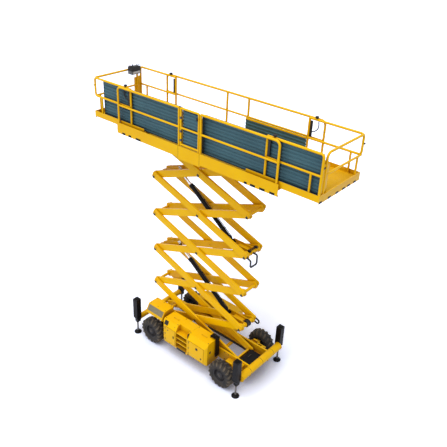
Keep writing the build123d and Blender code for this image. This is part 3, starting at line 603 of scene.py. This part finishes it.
def make_rim(name, centre, side):
    body = f"wheel_{name}"
    disc = coated(f"wheel_disc_{name}", body, "rim_paint")
    disc.ring([(r, side * h) for r, h in DISC], centre, Y_AXIS, 64)
    disc.done(30, [f"rim_{name}"])
    nuts = Piece(f"wheel_nuts_{name}", body, BOLT_STEEL)
    # hub and its cap: (start, end, radius, sides, bevel)
    for start, end, r, sides, bevel in ((0.05, 0.112, 0.049, 28, 0.006), (0.10, 0.122, 0.026, 20, 0.004)):
        nuts.rod(centre + Vector((0, side * start, 0)), centre + Vector((0, side * end, 0)), r, sides, bevel)
    for i in range(WHEEL_NUTS):
        a = 2 * pi * i / WHEEL_NUTS
        at = centre + Vector((0.136 * cos(a), side * 0.052, 0.136 * sin(a)))
        nuts.bolt(at, (0, side, 0), 0.013, 0.020)
    nuts.done()


for wheel_name, axle_x, wheel_side in (("front_right", FRONT_AXLE, -1), ("front_left", FRONT_AXLE, 1),
                                       ("rear_right", REAR_AXLE, -1), ("rear_left", REAR_AXLE, 1)):
    wheel_at = Vector((axle_x, wheel_side * WHEEL_Y, TYRE_R))
    make_tyre(wheel_name, wheel_at)
    make_rim(wheel_name, wheel_at, wheel_side)

# ---- scissor arms: bosses, bolts and end caps
# (radius, out from the arm's face)
BOSS = [(0.030, 0.0), (0.052, 0.0), (0.052, 0.007), (0.048, 0.010), (0.030, 0.010)]
COLLAR = [(0.001, 0.0), (0.056, 0.0), (0.056, 0.006), (0.050, 0.010), (0.001, 0.010)]
# a dark bolt head below each boss: its place from the pin, and its radius
KEEPER_X, KEEPER_Z, KEEPER_R = -0.012, -0.058, 0.041
# welds of an arm's closing plates: distance beyond the pin, half length, and both edges of the plate
WELD_OUT, WELD_HALF, WELD_EDGES = 0.064, 0.068, (0.350, 0.300)
PINS_AT = (0.0, ARM_LENGTH / 2, ARM_LENGTH)
NIPPLE_R = 0.006


def outer_details(stage):
    body = f"outer_{stage}"
    boss = coated(f"bosses_{body}", body, "yellow_paint")
    bolts = Piece(f"bolts_{body}", body, BLACK_AND_SHADE)
    steel = Piece(f"nuts_{body}", body, BOLT_STEEL)
    for side in SIDES:
        face = side * OUTER_FACE
        for a in PINS_AT:
            if stage == 1 and a == ARM_LENGTH:
                # the chassis rail hides this end
                continue
            x, z = outer_point(stage, a, 0)
            boss.ring([(r, side * out) for r, out in BOSS], (x, face, z), Y_AXIS, 32)
            bx, bz = x + KEEPER_X, z + KEEPER_Z
            bolts.rod((bx, face, bz), (bx, face + side * 0.012, bz), KEEPER_R, 20, 0.003)
            steel.bolt((bx, face + side * 0.011, bz), (0, side, 0), 0.015, 0.008, False)
        for a, way in ((0.0, -1), (ARM_LENGTH, 1)):
            x0, z0 = outer_point(stage, a + way * WELD_OUT, -WELD_HALF)
            x1, z1 = outer_point(stage, a + way * WELD_OUT, WELD_HALF)
            for edge in WELD_EDGES:
                boss.bars([(x0, side * edge, z0), (x1, side * edge, z1)], 0.004)
    boss.done()
    bolts.done()
    steel.done()


def inner_details(stage):
    body = f"inner_{stage}"
    collars = coated(f"collars_{body}", body, "yellow_paint")
    grease = Piece(f"nipples_{body}", body, BOLT_STEEL)
    for side in SIDES:
        for a in PINS_AT:
            x, z = inner_point(stage, a, 0)
            if a == ARM_LENGTH / 2:
                collars.ring([(r, -side * out) for r, out in COLLAR], (x, side * INNER_FACE, z), Y_AXIS, 32)
                start, end = INNER_FACE - 0.010, INNER_FACE - 0.022
                grease.rod((x, side * start, z), (x, side * end, z), NIPPLE_R, 10)
            elif not (a == 0.0 and stage == 1):
                # pin's end cap beyond the outer arm
                collars.rod((x, side * 0.3605, z), (x, side * 0.3655, z), 0.0245, 24, 0.002)
                grease.rod((x, side * 0.365, z), (x, side * 0.372, z), NIPPLE_R, 10)
    collars.done()
    grease.done()


for stage_number in range(1, STAGES + 1):
    outer_details(stage_number)
    inner_details(stage_number)

# ---- hose bundles and valves at the front joints
BUNDLE_R, BUNDLE_SIDES, CORNER_STEPS = 0.026, 14, 8
# a bundle leaves an arm's end at HOSE_FROM down the arm and goes HOSE_OUT further
HOSE_FROM, HOSE_OUT, HOSE_Y = ARM_LENGTH + 0.0625, 0.150, 0.325
# how far the upper loop hangs below the front pin, and its end from that pin
LOOP_DROP, LOOP_END_X, LOOP_END_Y = 0.290, 0.0605, -0.040


def hose_bundle(name, body, points, bend):
    """A closed bundle of hoses along straight runs joined by arcs of one bend radius."""
    points = [Vector(p) for p in points]
    line = [points[0]]
    for a, b, c in zip(points, points[1:], points[2:]):
        way_in, way_out = (b - a).normalized(), (c - b).normalized()
        turn = way_in.angle(way_out)
        cut = bend * tan(turn / 2)
        start = b - way_in * cut
        hub = start + (way_out - way_in * way_out.dot(way_in)).normalized() * bend
        for i in range(CORNER_STEPS + 1):
            t = turn * i / CORNER_STEPS
            line.append(hub + (start - hub) * cos(t) + way_in * bend * sin(t))
    line.append(points[-1])
    bundle = coated(name, body, "hose_rubber")
    bundle.bars(line, BUNDLE_R, BUNDLE_SIDES)
    bundle.done()


def add_hose_bundles():
    (near_x, near_z), (far_x, far_z) = (outer_point(4, HOSE_FROM + a, 0) for a in (0, HOSE_OUT))
    end_z = LEVELS[3]
    low_z = end_z - LOOP_DROP
    route = [(near_x, -HOSE_Y, near_z), (far_x, -HOSE_Y, far_z), (far_x, -HOSE_Y, low_z),
             (far_x, LOOP_END_Y, low_z), (far_x, LOOP_END_Y, end_z),
             (FRONT_X + LOOP_END_X, LOOP_END_Y, end_z)]
    hose_bundle("hose_bundle_upper", "outer_4", route, 0.058)
    corners = ((0, 0.07), (HOSE_OUT, 0.07), (HOSE_OUT, -0.068), (0, -0.068))
    places = [outer_point(2, HOSE_FROM + a, p) for a, p in corners]
    hose_bundle("hose_bundle_lower", "outer_2", [(x, HOSE_Y, z) for x, z in places], 0.068)


def add_valves():
    """Valve blocks on both sides of the upper cradle's sleeve, with two pipes between them."""
    valve = coated("joint_valves", "outer_4", "black_paint")
    x, z, reach = FRONT_X, LEVELS[3] + 0.060, 0.150
    for y in (-reach, reach):
        valve.box((x - 0.05, y - 0.030, z - 0.004), (x + 0.05, y + 0.030, z + 0.045), 0.006)
    for offset in (-0.022, 0.022):
        valve.bars([(x + offset, -reach, z + 0.030), (x + offset, reach, z + 0.030)], 0.012, 12)
    valve.done()


add_hose_bundles()
add_valves()

# ---- lift cylinders: pipes and fittings
# (a, p) of a cylinder's base on an outer arm, and of its eye on the inner arm above
CYLINDER_BASE, CYLINDER_EYE, EXPOSED_ROD = (3.050, -0.245), (0.750, 0.075), 0.600
# the pipe along a barrel: its radius, and how far off the barrel's middle it runs
PIPE_R, PIPE_UP, PIPE_Y = 0.009, 0.082, 0.03
CLAMPS_AT, GLAND_BOLTS = (0.45, 0.95, 1.45), 8
# sleeve at the rod's end, and the gland: (radius, along)
ROD_SLEEVE = [(0.0385, -0.185), (0.046, -0.180), (0.046, -0.055), (0.0385, -0.050)]
GLAND = [(0.039, 0.0), (0.058, 0.0), (0.058, 0.010), (0.052, 0.016), (0.039, 0.016)]


def cylinder_details(label, stage):
    (bx, bz), (ex, ez) = outer_point(stage, *CYLINDER_BASE), inner_point(stage + 1, *CYLINDER_EYE)
    length = hypot(ex - bx, ez - bz)
    along = Vector(((ex - bx) / length, 0, (ez - bz) / length))
    up = Vector((-along.z, 0, along.x))
    if up.z < 0:
        up = -up
    base = Vector((bx, 0, bz))
    gland = length - EXPOSED_ROD

    def on_barrel(d, u, y):
        return base + along * d + up * u + Vector((0, y, 0))

    def pipe_line(*places):
        return [on_barrel(d, u, PIPE_Y) for d, u in places]

    sleeve = coated(f"{label}_rod_end", f"{label}_ram", "black_paint")
    sleeve.ring(ROD_SLEEVE, on_barrel(length, 0, 0), along, 32)
    sleeve.done()
    pipe = coated(f"{label}_cylinder_pipe", f"{label}_barrel", "black_paint")
    pipe.tube(pipe_line((0.10, 0.060), (0.14, 0.080), (0.22, PIPE_UP)), PIPE_R)
    pipe.bars(pipe_line((0.22, PIPE_UP), (gland - 0.16, PIPE_UP)), PIPE_R, 12)
    pipe.tube(pipe_line((gland - 0.16, PIPE_UP), (gland - 0.09, PIPE_UP), (gland - 0.06, 0.066)), PIPE_R)
    for d in CLAMPS_AT:
        pipe.band(0.0615, 0.066, 0.012, on_barrel(d, 0, 0), along, 40)
        pipe.block(on_barrel(d, 0.072, PIPE_Y), (0.014, 0.016, 0.014))
    pipe.block(on_barrel(0.16, 0.090, -0.015), (0.025, 0.03, 0.025), 0.005)
    pipe.done()
    ring = Piece(f"{label}_cylinder_gland", f"{label}_barrel", BOLT_STEEL)
    ring.ring(GLAND, on_barrel(gland, 0, 0), along, 40)
    for i in range(GLAND_BOLTS):
        a = 2 * pi * i / GLAND_BOLTS
        ring.bolt(on_barrel(gland, 0.064 * cos(a), 0.064 * sin(a)), along, 0.0065, 0.008, False)
    ring.done()


cylinder_details("lower", 2)
cylinder_details("upper", 4)

# ---- chassis: pods, steps, hood and frame
# dark parts and seams of the chassis, and dark plates that stand in for shade in its openings, recesses,
# boxes and along a rail
dark = Piece("chassis_dark_parts_and_painted_shade", "chassis", BLACK_AND_SHADE)
trim = coated("pod_trim", "chassis", "yellow_paint")
steel = Piece("pod_fasteners", "chassis", BOLT_STEEL)
# way up the bevel along the pods' top edge, and way out of it
BEVEL_UP, BEVEL_OUT = Vector((0, 0.11, 0.18)).normalized(), Vector((0, -0.18, 0.11)).normalized()
BEVEL_Y, BEVEL_Z = -1.055, 1.16


def slot_on_bevel():
    """Black slot with three ribs, near the rear end of the engine pod; its plate stands in for the shade
    inside the slot.
    """
    middle = Vector((-0.81, BEVEL_Y, BEVEL_Z))
    face = middle + BEVEL_OUT * 0.0015
    dark.plate(face, X_AXIS, BEVEL_UP, (-0.075, 0.075), (-0.075, 0.070), BEVEL_OUT * 0.003)
    for i in range(3):
        start = middle - X_AXIS * 0.078 + BEVEL_UP * (-0.045 + 0.045 * i) + BEVEL_OUT * 0.004
        dark.bars([start, start + X_AXIS * 0.156], 0.005)


def vents_on_corner():
    """Six hooded vents down the cut corner of the engine pod; a dark plate in each stands in for the shade
    inside the vent.
    """
    across, out = Vector((0.07, -0.06, 0)).normalized(), Vector((-0.06, -0.07, 0)).normalized()
    for i in range(6):
        at = Vector((-0.91, -1.08, 0.56 + i * 0.085)) + out * 0.001
        dark.plate(at, across, Z_AXIS, (-0.026, 0.026), (-0.017, 0.017), out * 0.002)
        hood = at + Z_AXIS * 0.020 + out * 0.003
        trim.bars([hood - across * 0.028, hood + across * 0.028], 0.006)


def steps():
    """Black plate that stands in for the shade in the slot at the foot of the steps, painted shadow under
    each tread, and edges of the treads and of the recess.
    """
    dark.box((-0.320, POD_Y - 0.0015, 0.420), (0.065, POD_Y + 0.002, 0.498), 0.001)
    for z in (0.660, 0.840, 1.020):
        trim.box((-0.358, -1.094, z - 0.004), (0.098, -1.086, z + 0.0285), 0.002)
        # painted shadow: a dark sheet under each tread
        dark.box((-0.354, -1.085, z - 0.006), (0.094, -0.91, z - 0.001), 0.0004)
    for x in (-0.372, 0.100):
        trim.box((x, POD_Y - 0.003, 0.490), (x + 0.012, POD_Y + 0.002, 1.070), 0.0015)


def right_pods():
    """Seam between the pods, bolts on their sides and tops, and a handle on each."""
    dark.box((0.1285, POD_Y + 0.004, 0.44), (0.1315, -0.56, 1.245), 0.0004)
    for x in (-0.86, -0.62, -0.42, 0.18, 0.40, 0.62, 0.80):
        steel.bolt((x, POD_Y, 0.47), -Y_AXIS, 0.009, 0.007)
    for x in (-0.70, -0.45):
        steel.bolt(Vector((x, BEVEL_Y, BEVEL_Z)) + BEVEL_OUT * 0.0005, BEVEL_OUT, 0.008, 0.006)
    for x in (-0.62, 0.55):
        legs = ((-0.10, 0), (-0.10, 0.035), (0.10, 0.035), (0.10, 0))
        trim.bars([(x + dx, -0.80, POD_TOP + dz) for dx, dz in legs], 0.009, 10)
    for x in (-0.90, -0.40, 0.15, 0.86):
        for y in (-0.60, -0.97):
            steel.bolt((x, y, POD_TOP), Z_AXIS, 0.010, 0.008)


def shade_strip_by_rail():
    """Black box along the foot of the left-hand rail, standing in for the shade there."""
    dark.box((-0.30, 0.302, 0.431), (1.36, 0.366, 0.461), 0.004)


def tank_pod_latch():
    dark.box((0.900, -0.96, 0.86), (0.907, -0.90, 0.93), 0.003)
    steel.rod((0.905, -0.93, 0.895), (0.912, -0.93, 0.895), 0.012, 18, 0.002)


def left_pods():
    """Door panels with a handle and two hinges each, and louvres on the longer one, drawn as dark strips that
    stand in for the shade in their slots.
    """
    for x0, x1 in ((-0.83, -0.10), (0.19, 0.50)):
        trim.box((x0, -POD_Y, 0.50), (x1, -POD_Y + 0.009, 1.05), 0.003)
        dark.box((x0 + 0.04, -POD_Y + 0.008, 0.76), (x0 + 0.10, -POD_Y + 0.0115, 0.86), 0.002)
        for z in (0.56, 0.99):
            steel.post((x1 - 0.005, -POD_Y + 0.012), z - 0.04, z + 0.04, 0.008, 12, 0.001)
    # painted shade: dark strips for the slots of the louvres
    for i in range(9):
        z = 0.60 + i * 0.035
        dark.box((-0.72, -POD_Y + 0.0085, z), (-0.24, -POD_Y + 0.0105, z + 0.015), 0.0008)


def rear_hood():
    """Ribbed grille with a raised frame on the hood over the right rear wheel, and the hood's bolts."""
    up, out = Vector((0, 0.13, 0.21)).normalized(), Vector((0, -0.21, 0.13)).normalized()
    grille_x, frame_x, upright_x = (-1.765, -1.125), (-1.80, -1.09), (-1.785, -1.105)
    bottom, top = -0.106, 0.100
    middle = Vector((0, -0.915, 1.195)) + out * 0.001
    grille = Piece("hood_grille", "chassis", GRILLE)
    grille.plate(middle, X_AXIS, up, grille_x, (-0.098, 0.092), out * 0.002)
    for i in range(9):
        at = middle + up * (-0.085 + i * 0.021) + out * 0.004
        grille.bars([at + X_AXIS * x for x in grille_x], 0.005, 6)
    grille.done()
    rim = middle + out * 0.003
    for rise in (bottom, top):
        trim.bars([rim + up * rise + X_AXIS * x for x in frame_x], 0.007)
    for x in upright_x:
        trim.bars([rim + X_AXIS * x + up * rise for rise in (bottom, top)], 0.007)
    for x in (-1.76, -1.45, -1.13):
        for y in (-0.53, -0.80):
            steel.bolt((x, y, 1.300), Z_AXIS, 0.009, 0.008)


def front_boxes():
    """Dark plates that stand in for the shade inside the boxes in front of the front axle, and their bolts.
    """
    for side in SIDES:
        y0, y1 = sorted((side * 0.497, side * 0.558))
        dark.box((1.622, y0, 0.602), (1.748, y1, 0.606), 0.0005)
        for x in (1.59, 1.85):
            steel.bolt((x, side * 0.525, 0.73), Z_AXIS, 0.011, 0.009)


def end_beams():
    """Dark seams round the beams, and a collar near each end."""
    # middle of the beam's axis in x and z, its radius, and where its seams are
    for x, z, r, seams in ((2.1, 0.68, 0.12, (-0.55, 0.0, 0.55)), (-2.21, 0.55, 0.09, (-0.6, 0.6))):
        for y in seams:
            dark.band(r - 0.001, r + 0.0015, 0.004, (x, y, z), Y_AXIS, 48)
        for y in (-0.938, 0.938):
            trim.band(r - 0.002, r + 0.010, 0.010, (x, y, z), Y_AXIS, 48)


def tray():
    """Handle and catches of the tray between the rails."""
    grip = ((-0.08, 0.64), (-0.08, 0.655), (0.08, 0.655), (0.08, 0.64))
    steel.bars([(1.70, y, z) for y, z in grip], 0.007, 10)
    for y in (-0.24, 0.24):
        for x in (1.60, 1.93):
            steel.bolt((x, y, 0.640), Z_AXIS, 0.008, 0.007)


def rail_bolts():
    for side in SIDES:
        for x in (-1.85, -1.65, -1.25, -1.05, 1.10, 1.25, 1.95):
            for z in (0.72, 0.46):
                steel.bolt((x, side * CHASSIS_RAIL_Y, z), (0, side, 0), 0.012, 0.010)


for add_group in (slot_on_bevel, vents_on_corner, steps, right_pods, shade_strip_by_rail, tank_pod_latch, left_pods,
                  rear_hood, front_boxes, end_beams, tray, rail_bolts):
    add_group()
dark.done()
trim.done()
steel.done()


# ---- doors of the pods
def engine_door_hardware(bits, x1):
    """Round lock, and a handle on a plate near the front edge."""
    bits.rod((-0.70, DOOR_Y, 0.95), (-0.70, DOOR_Y - 0.004, 0.95), 0.020, 20, 0.001)
    x = x1 - 0.09
    bits.box((x, DOOR_Y - 0.004, 0.74), (x + 0.045, DOOR_Y, 0.84), 0.002)
    bits.box((x + 0.012, DOOR_Y - 0.014, 0.755), (x + 0.033, DOOR_Y - 0.004, 0.825), 0.004)


def tank_door_hardware(bits, x1):
    """Black disc that stands in for the shade in a round opening, and a latch near the front edge."""
    bits.rod((0.52, DOOR_Y, 0.91), (0.52, DOOR_Y - 0.006, 0.91), 0.046, 32, 0.002)
    x = x1 - 0.12
    bits.box((x, DOOR_Y - 0.004, 0.60), (x + 0.05, DOOR_Y, 0.66), 0.002)


def door_details(body, x0, x1, add_hardware):
    bits = Piece(f"{body}_hardware", body, BLACK_AND_SHADE)
    add_hardware(bits, x1)
    bits.done()
    edges = coated(f"{body}_edges", body, "yellow_paint")
    for z in (0.508, 1.046):
        edges.box((x0 + 0.003, DOOR_Y - 0.003, z), (x1 - 0.003, DOOR_Y, z + 0.006), 0.001)
    edges.done()
    hinge = Piece(f"{body}_hinge", body, BOLT_STEEL)
    for z in (0.56, 0.78, 1.00):
        hinge.post((x0, DOOR_Y - 0.002), z - 0.035, z + 0.035, 0.0085, 14, 0.001)
        for dz in (-0.022, 0.022):
            hinge.bolt((x0 + 0.03, DOOR_Y, z + dz), -Y_AXIS, 0.006, 0.005)
    hinge.done()


door_details("engine_door", -0.824, -0.396, engine_door_hardware)
door_details("tank_door", 0.181, 0.794, tank_door_hardware)

# ---- stabilisers
LEG_Y, CASING_TOP = 1.045, 1.358
# section of the domed pad: (radius, height)
PAD = [(0.001, 0.0), (0.118, 0.0), (0.120, 0.008), (0.116, 0.024), (0.085, 0.042), (0.052, 0.058),
       (0.046, 0.085), (0.034, 0.092), (0.001, 0.092)]
RAM_FOOT = [(0.028, 0.0), (0.038, 0.0), (0.038, 0.02), (0.028, 0.024)]
CASING_MOUTH = [(0.031, -0.03), (0.048, -0.03), (0.048, 0.0), (0.031, 0.0)]


def make_stabiliser(name, x, side):
    y = side * LEG_Y
    pad = coated(f"pad_{name}", f"leg_{name}", "black_paint")
    pad.ring(PAD, (x, y, 0), Z_AXIS, 48)
    pad.done(50)
    ram = coated(f"ram_{name}", f"leg_{name}", "bare_steel")
    ram.post((x, y), 0.085, 0.950, 0.028, 32, 0.002)
    ram.ring(RAM_FOOT, (x, y, 0.09), Z_AXIS, 32)
    ram.done(replaces=[f"stabiliser_leg_{name}"])
    # cap, its knob and the casing's lower edge: (half width, lowest and highest point, bevel)
    cap = coated(f"cap_{name}", "chassis", "black_paint")
    for half, z0, z1, bevel in ((0.096, 1.344, CASING_TOP, 0.006), (0.030, 1.356, 1.372, 0.006),
                                (0.095, 0.626, 0.650, 0.004)):
        cap.box((x - half, y - half, z0), (x + half, y + half, z1), bevel)
    # bracket on the inboard face
    inboard = y - side * 0.092
    cap.box((x - 0.030, inboard - 0.010, 0.90), (x + 0.030, inboard + 0.010, 1.02), 0.004)
    cap.ring(CASING_MOUTH, (x, y, 0.449), Z_AXIS, 32)
    cap.done()
    bolts = Piece(f"cap_bolts_{name}", "chassis", BOLT_STEEL)
    for dx in (-0.070, 0.070):
        for dy in (-0.070, 0.070):
            bolts.bolt((x + dx, y + dy, CASING_TOP), Z_AXIS, 0.008, 0.007)
    bolts.done()


for leg_name, leg_x, leg_side in (("front_right", 2.04, -1), ("front_left", 2.04, 1),
                                  ("rear_right", -2.18, -1), ("rear_left", -2.18, 1)):
    make_stabiliser(leg_name, leg_x, leg_side)

# ---- platform
# thickness of a floor sheet and of a dark mark
SHEET, MARK = 0.002, 0.0012
# painted shadow lines along the sheets' edges: both faces in y, and the line at the sheet's foot and the one
# at its top in z
SHEET_SHADOW_LINES = (-0.8330, -0.8130), (7.146, 7.156), (8.172, 8.186)
EXT_SHEET_SHADOW_LINES = (-0.8085, -0.7885), (7.139, 7.150), (8.172, 8.186)
GATE_SHEET_SHADOW_LINES = (-0.9185, -0.8985), (7.208, 7.218), (8.168, 8.180)
# (middle, width) of the dashes along the skirt, and middles of those along an extension's end
SIDE_DASHES = ((1.84, 0.09), (2.06, 0.15), (2.34, 0.16), (2.63, 0.15),
               (-2.52, 0.13), (-2.27, 0.11), (-1.93, 0.19))
END_DASHES = (-0.84, -0.46, -0.13, 0.17, 0.40, 0.68)
# bore, foot and shoulder of the posts' flanges: main posts, inner and outer posts of an extension
POST_FLANGE, INNER_FLANGE, OUTER_FLANGE = (0.029, 0.042, 0.036), (0.029, 0.044, 0.036), (0.026, 0.040, 0.033)


def span_x(end, near, far):
    """Lowest and highest x of what lies near to far from the middle, at the front (1) or rear (-1) end."""
    return sorted((end * near, end * far))


def add_edge_shadows(piece, x0, x1, edge):
    """Painted shadow: dark lines along the foot and the top of a sheet."""
    (y0, y1), foot, top = edge
    piece.box((x0, y0, foot[0]), (x1, y1, foot[1]), 0.001)
    piece.box((x0, y0, top[0]), (x1, y1, top[1]), 0.002)


# painted shadow: dark lines up the ends of a sheet
def add_upright_edge_shadows(piece, xs, edge, z0, z1):
    y0, y1 = edge[0]
    for x in xs:
        piece.box((x - 0.004, y0, z0), (x + 0.004, y1, z1), 0.001)


def add_floor_sheets():
    plate = Piece("platform_floor_sheet", "platform", FLOOR_PLATE)
    half = DECK_HALF - 0.004
    plate.box((-half, -0.902, FLOOR_Z), (half, 0.902, FLOOR_Z + SHEET), 0.0005)
    plate.done()
    for end, body in EXTENSIONS:
        x0, x1 = span_x(end, 1.774, 3.830)
        sheet = Piece(f"{body}_floor_sheet", body, FLOOR_PLATE)
        sheet.box((x0, -0.836, EXT_FLOOR_Z), (x1, 0.836, EXT_FLOOR_Z + SHEET), 0.0005)
        sheet.done()


def add_dashes():
    dash = coated("skirt_dashes", "platform", "black_paint")
    for side in SIDES:
        y0, y1 = sorted((side * PLATFORM_Y, side * (PLATFORM_Y + MARK)))
        for x, width in SIDE_DASHES:
            dash.box((x - width / 2, y0, 6.877), (x + width / 2, y1, 6.937), 0.0003)
        # seams of the skirt below the gate's posts
        for x in POSTS[1:3]:
            dash.box((x - 0.0035, y0, 6.84), (x + 0.0035, y1, 7.185), 0.0002)
    dash.done()
    for end, body in EXTENSIONS:
        marks = coated(f"{body}_dashes", body, "black_paint")
        x0, x1 = span_x(end, PLATFORM_HALF, PLATFORM_HALF + MARK)
        for y in END_DASHES:
            marks.box((x0, y - 0.065, 7.037), (x1, y + 0.065, 7.090), 0.0003)
        marks.done()


def rail_details():
    flanges = coated("post_flanges", "platform", "yellow_paint")
    # cap on the top edge of the left-hand half sheet
    flanges.box((0.357, 0.812, 7.668), (2.288, 0.833, 7.712), 0.003)
    for side in SIDES:
        for x in POSTS:
            flanges.flange(POST_FLANGE, (x, side * RAIL_Y, 7.0555))
    flanges.done()
    bars = Piece("rail_knobs_and_shadow_lines", "platform", BLACK_AND_SHADE)
    for side in SIDES:
        for x in (POSTS[0], POSTS[3]):
            bars.rod((x, side * (RAIL_Y - 0.028), 7.93), (x, side * (RAIL_Y - 0.020), 7.93), 0.020, 18, 0.002)
    # painted shadow: dark lines at the sheets' edges
    for x in (-0.42, 0.342):
        bars.box((x, -0.8335, 7.15), (x + 0.010, -0.812, 8.18), 0.002)
    for x0, x1 in ((-2.695, -0.414), (0.339, 2.665)):
        add_edge_shadows(bars, x0, x1, SHEET_SHADOW_LINES)
    bars.done()


def slide_fittings(fit, end, side):
    """Knob on the top rail that locks the slide, and the spring bar beside the inner post."""
    x, y = end * 2.50, side * EXT_RAIL_Y
    fit.post((x, y), TOP_RAIL + 0.026, TOP_RAIL + 0.050, 0.016, 16)
    fit.post((x, y), TOP_RAIL + 0.046, TOP_RAIL + 0.088, 0.046, 24, 0.010)
    x0, x1 = span_x(end, 2.336, 2.398)
    fit.box((x0, y - 0.012, 7.735), (x1, y + 0.012, 8.15), 0.004)
    x0, x1 = span_x(end, 2.29, 2.35)
    for z in (7.772, 8.102):
        fit.box((x0, y - 0.010, z - 0.012), (x1, y + 0.010, z + 0.012), 0.003)


def corner_fittings(fit, end):
    """Latch on the corner plate, lever on one top rail, and knob on the loop at the other corner."""
    y = -end * (EXT_RAIL_Y - 0.075)
    x0, x1 = span_x(end, 3.804, 3.820)
    fit.box((x0, y - 0.055, 7.86), (x1, y + 0.045, 7.885), 0.004)
    fit.rod((x0, y - 0.045, 7.873), (x1 + 0.004, y - 0.045, 7.873), 0.014, 18, 0.002)
    lever = ((2.56, 8.165), (2.57, 8.03), (2.50, 7.92), (2.34, 7.84))
    fit.tube([(end * x, end * EXT_RAIL_Y, z) for x, z in lever], 0.014, 10)
    fit.rod((end * 3.83, end * 0.868, 7.98), (end * 3.862, end * 0.868, 7.98), 0.020, 18, 0.004)


def extension_details(end, body):
    fit = Piece(f"{body}_fittings", body, BLACK_AND_SHADE)
    for side in SIDES:
        slide_fittings(fit, end, side)
    corner_fittings(fit, end)
    sheet_x = (2.34, 3.766) if end > 0 else (-3.51, -2.34)
    # painted shadow lines round the extension's sheet
    add_edge_shadows(fit, *sheet_x, EXT_SHEET_SHADOW_LINES)
    add_upright_edge_shadows(fit, sheet_x, EXT_SHEET_SHADOW_LINES, 7.15, 8.18)
    fit.done()
    clips = coated(f"{body}_clips", body, "yellow_paint")
    for side in SIDES:
        clips.flange(INNER_FLANGE, (end * 2.30, side * EXT_RAIL_Y, EXT_FLOOR_Z))
        clips.flange(OUTER_FLANGE, (end * 3.53, side * EXT_RAIL_Y, EXT_FLOOR_Z))
    # wide plate beside the corner, up to the loop's upright
    y0, y1 = sorted((-end * 0.715, -end * 0.595))
    x0, x1 = span_x(end, 3.797, 3.803)
    clips.box((x0, y0, 7.135), (x1, y1, 7.93), 0.002)
    # folded edge along the end lip
    x0, x1 = span_x(end, PLATFORM_HALF - 0.030, PLATFORM_HALF)
    clips.box((x0, -0.905, 7.236), (x1, 0.905, 7.241), 0.001)
    clips.done()


def add_sheet_strip():
    """Strip of sheet beside the gate's front post."""
    strip = coated("sheet_strips", "platform", "panel_teal")
    strip.box((0.276, -0.829, 7.145), (0.345, -0.815, 8.178), 0.002)
    strip.done()


def gate_details():
    gate = Piece("gate_latch_and_shadow_lines", "gate", BLACK_AND_SHADE)
    # latch and its button
    gate.box((0.215, -0.985, 8.02), (0.262, -0.972, 8.10), 0.004)
    gate.rod((0.235, -0.985, 8.06), (0.235, -1.005, 8.06), 0.016, 20, 0.004)
    # painted shadow lines round the gate's sheet
    add_edge_shadows(gate, -0.300, 0.266, GATE_SHEET_SHADOW_LINES)
    add_upright_edge_shadows(gate, (-0.296, 0.262), GATE_SHEET_SHADOW_LINES, 7.22, 8.17)
    gate.done()
    hinges = Piece("gate_hinges", "gate", BOLT_STEEL)
    for z in (7.36, 7.60, 7.96):
        hinges.band(0.0265, 0.0325, 0.03, (-0.345, -RAIL_Y, z), Z_AXIS, 28)
    hinges.done()


add_floor_sheets()
add_dashes()
rail_details()
for extension_end, extension_body in EXTENSIONS:
    extension_details(extension_end, extension_body)
add_sheet_strip()
gate_details()

# ---- control box on the rear end rail
CONTROL_X, CONTROL_Y = -3.77, 0.47


def add_control_box():
    x, y, body = CONTROL_X, CONTROL_Y, "rear_extension"
    shell = Piece("control_shell", body, BLACK_AND_SHADE)
    shell.box((x + 0.035, y - 0.170, 8.205), (x + 0.235, y + 0.170, 8.318), 0.014, 3)
    shell.box((x + 0.060, y - 0.150, 8.316), (x + 0.215, y + 0.150, 8.330), 0.006)
    # guard bars over both ends
    guard = ((0.05, 8.30), (0.05, 8.348), (0.22, 8.348), (0.22, 8.30))
    for dy in (-0.165, 0.165):
        shell.bars([(x + dx, y + dy, z) for dx, z in guard], 0.008, 10)
    # joystick
    shell.post((x + 0.12, y - 0.06), 8.325, 8.372, 0.010, 16)
    shell.post((x + 0.12, y - 0.06), 8.352, 8.384, 0.020, 20, 0.006)
    shell.done()
    lower = coated("control_tray", body, "grey_plastic")
    lower.box((x + 0.035, y - 0.170, 8.105), (x + 0.235, y + 0.170, 8.206), 0.012, 3)
    # hook over the end rail
    lower.box((x - 0.060, y - 0.060, 8.236), (x + 0.036, y + 0.060, 8.251), 0.003)
    lower.done(replaces=["control_box"])
    switches = Piece("control_switches", body, CONTROL_WHITE)
    switches.box((x + 0.2352, y - 0.13, 8.13), (x + 0.2372, y + 0.13, 8.19), 0.001)
    for dy in (0.03, 0.08, 0.12):
        switches.post((x + 0.13, y + dy), 8.329, 8.343, 0.011, 18, 0.002)
    switches.done()
    stop = Piece("control_stop", body, STOP_RED)
    stop.post((x + 0.09, y - 0.12), 8.329, 8.350, 0.010, 18)
    stop.post((x + 0.09, y - 0.12), 8.346, 8.360, 0.021, 24, 0.004)
    stop.done()


add_control_box()
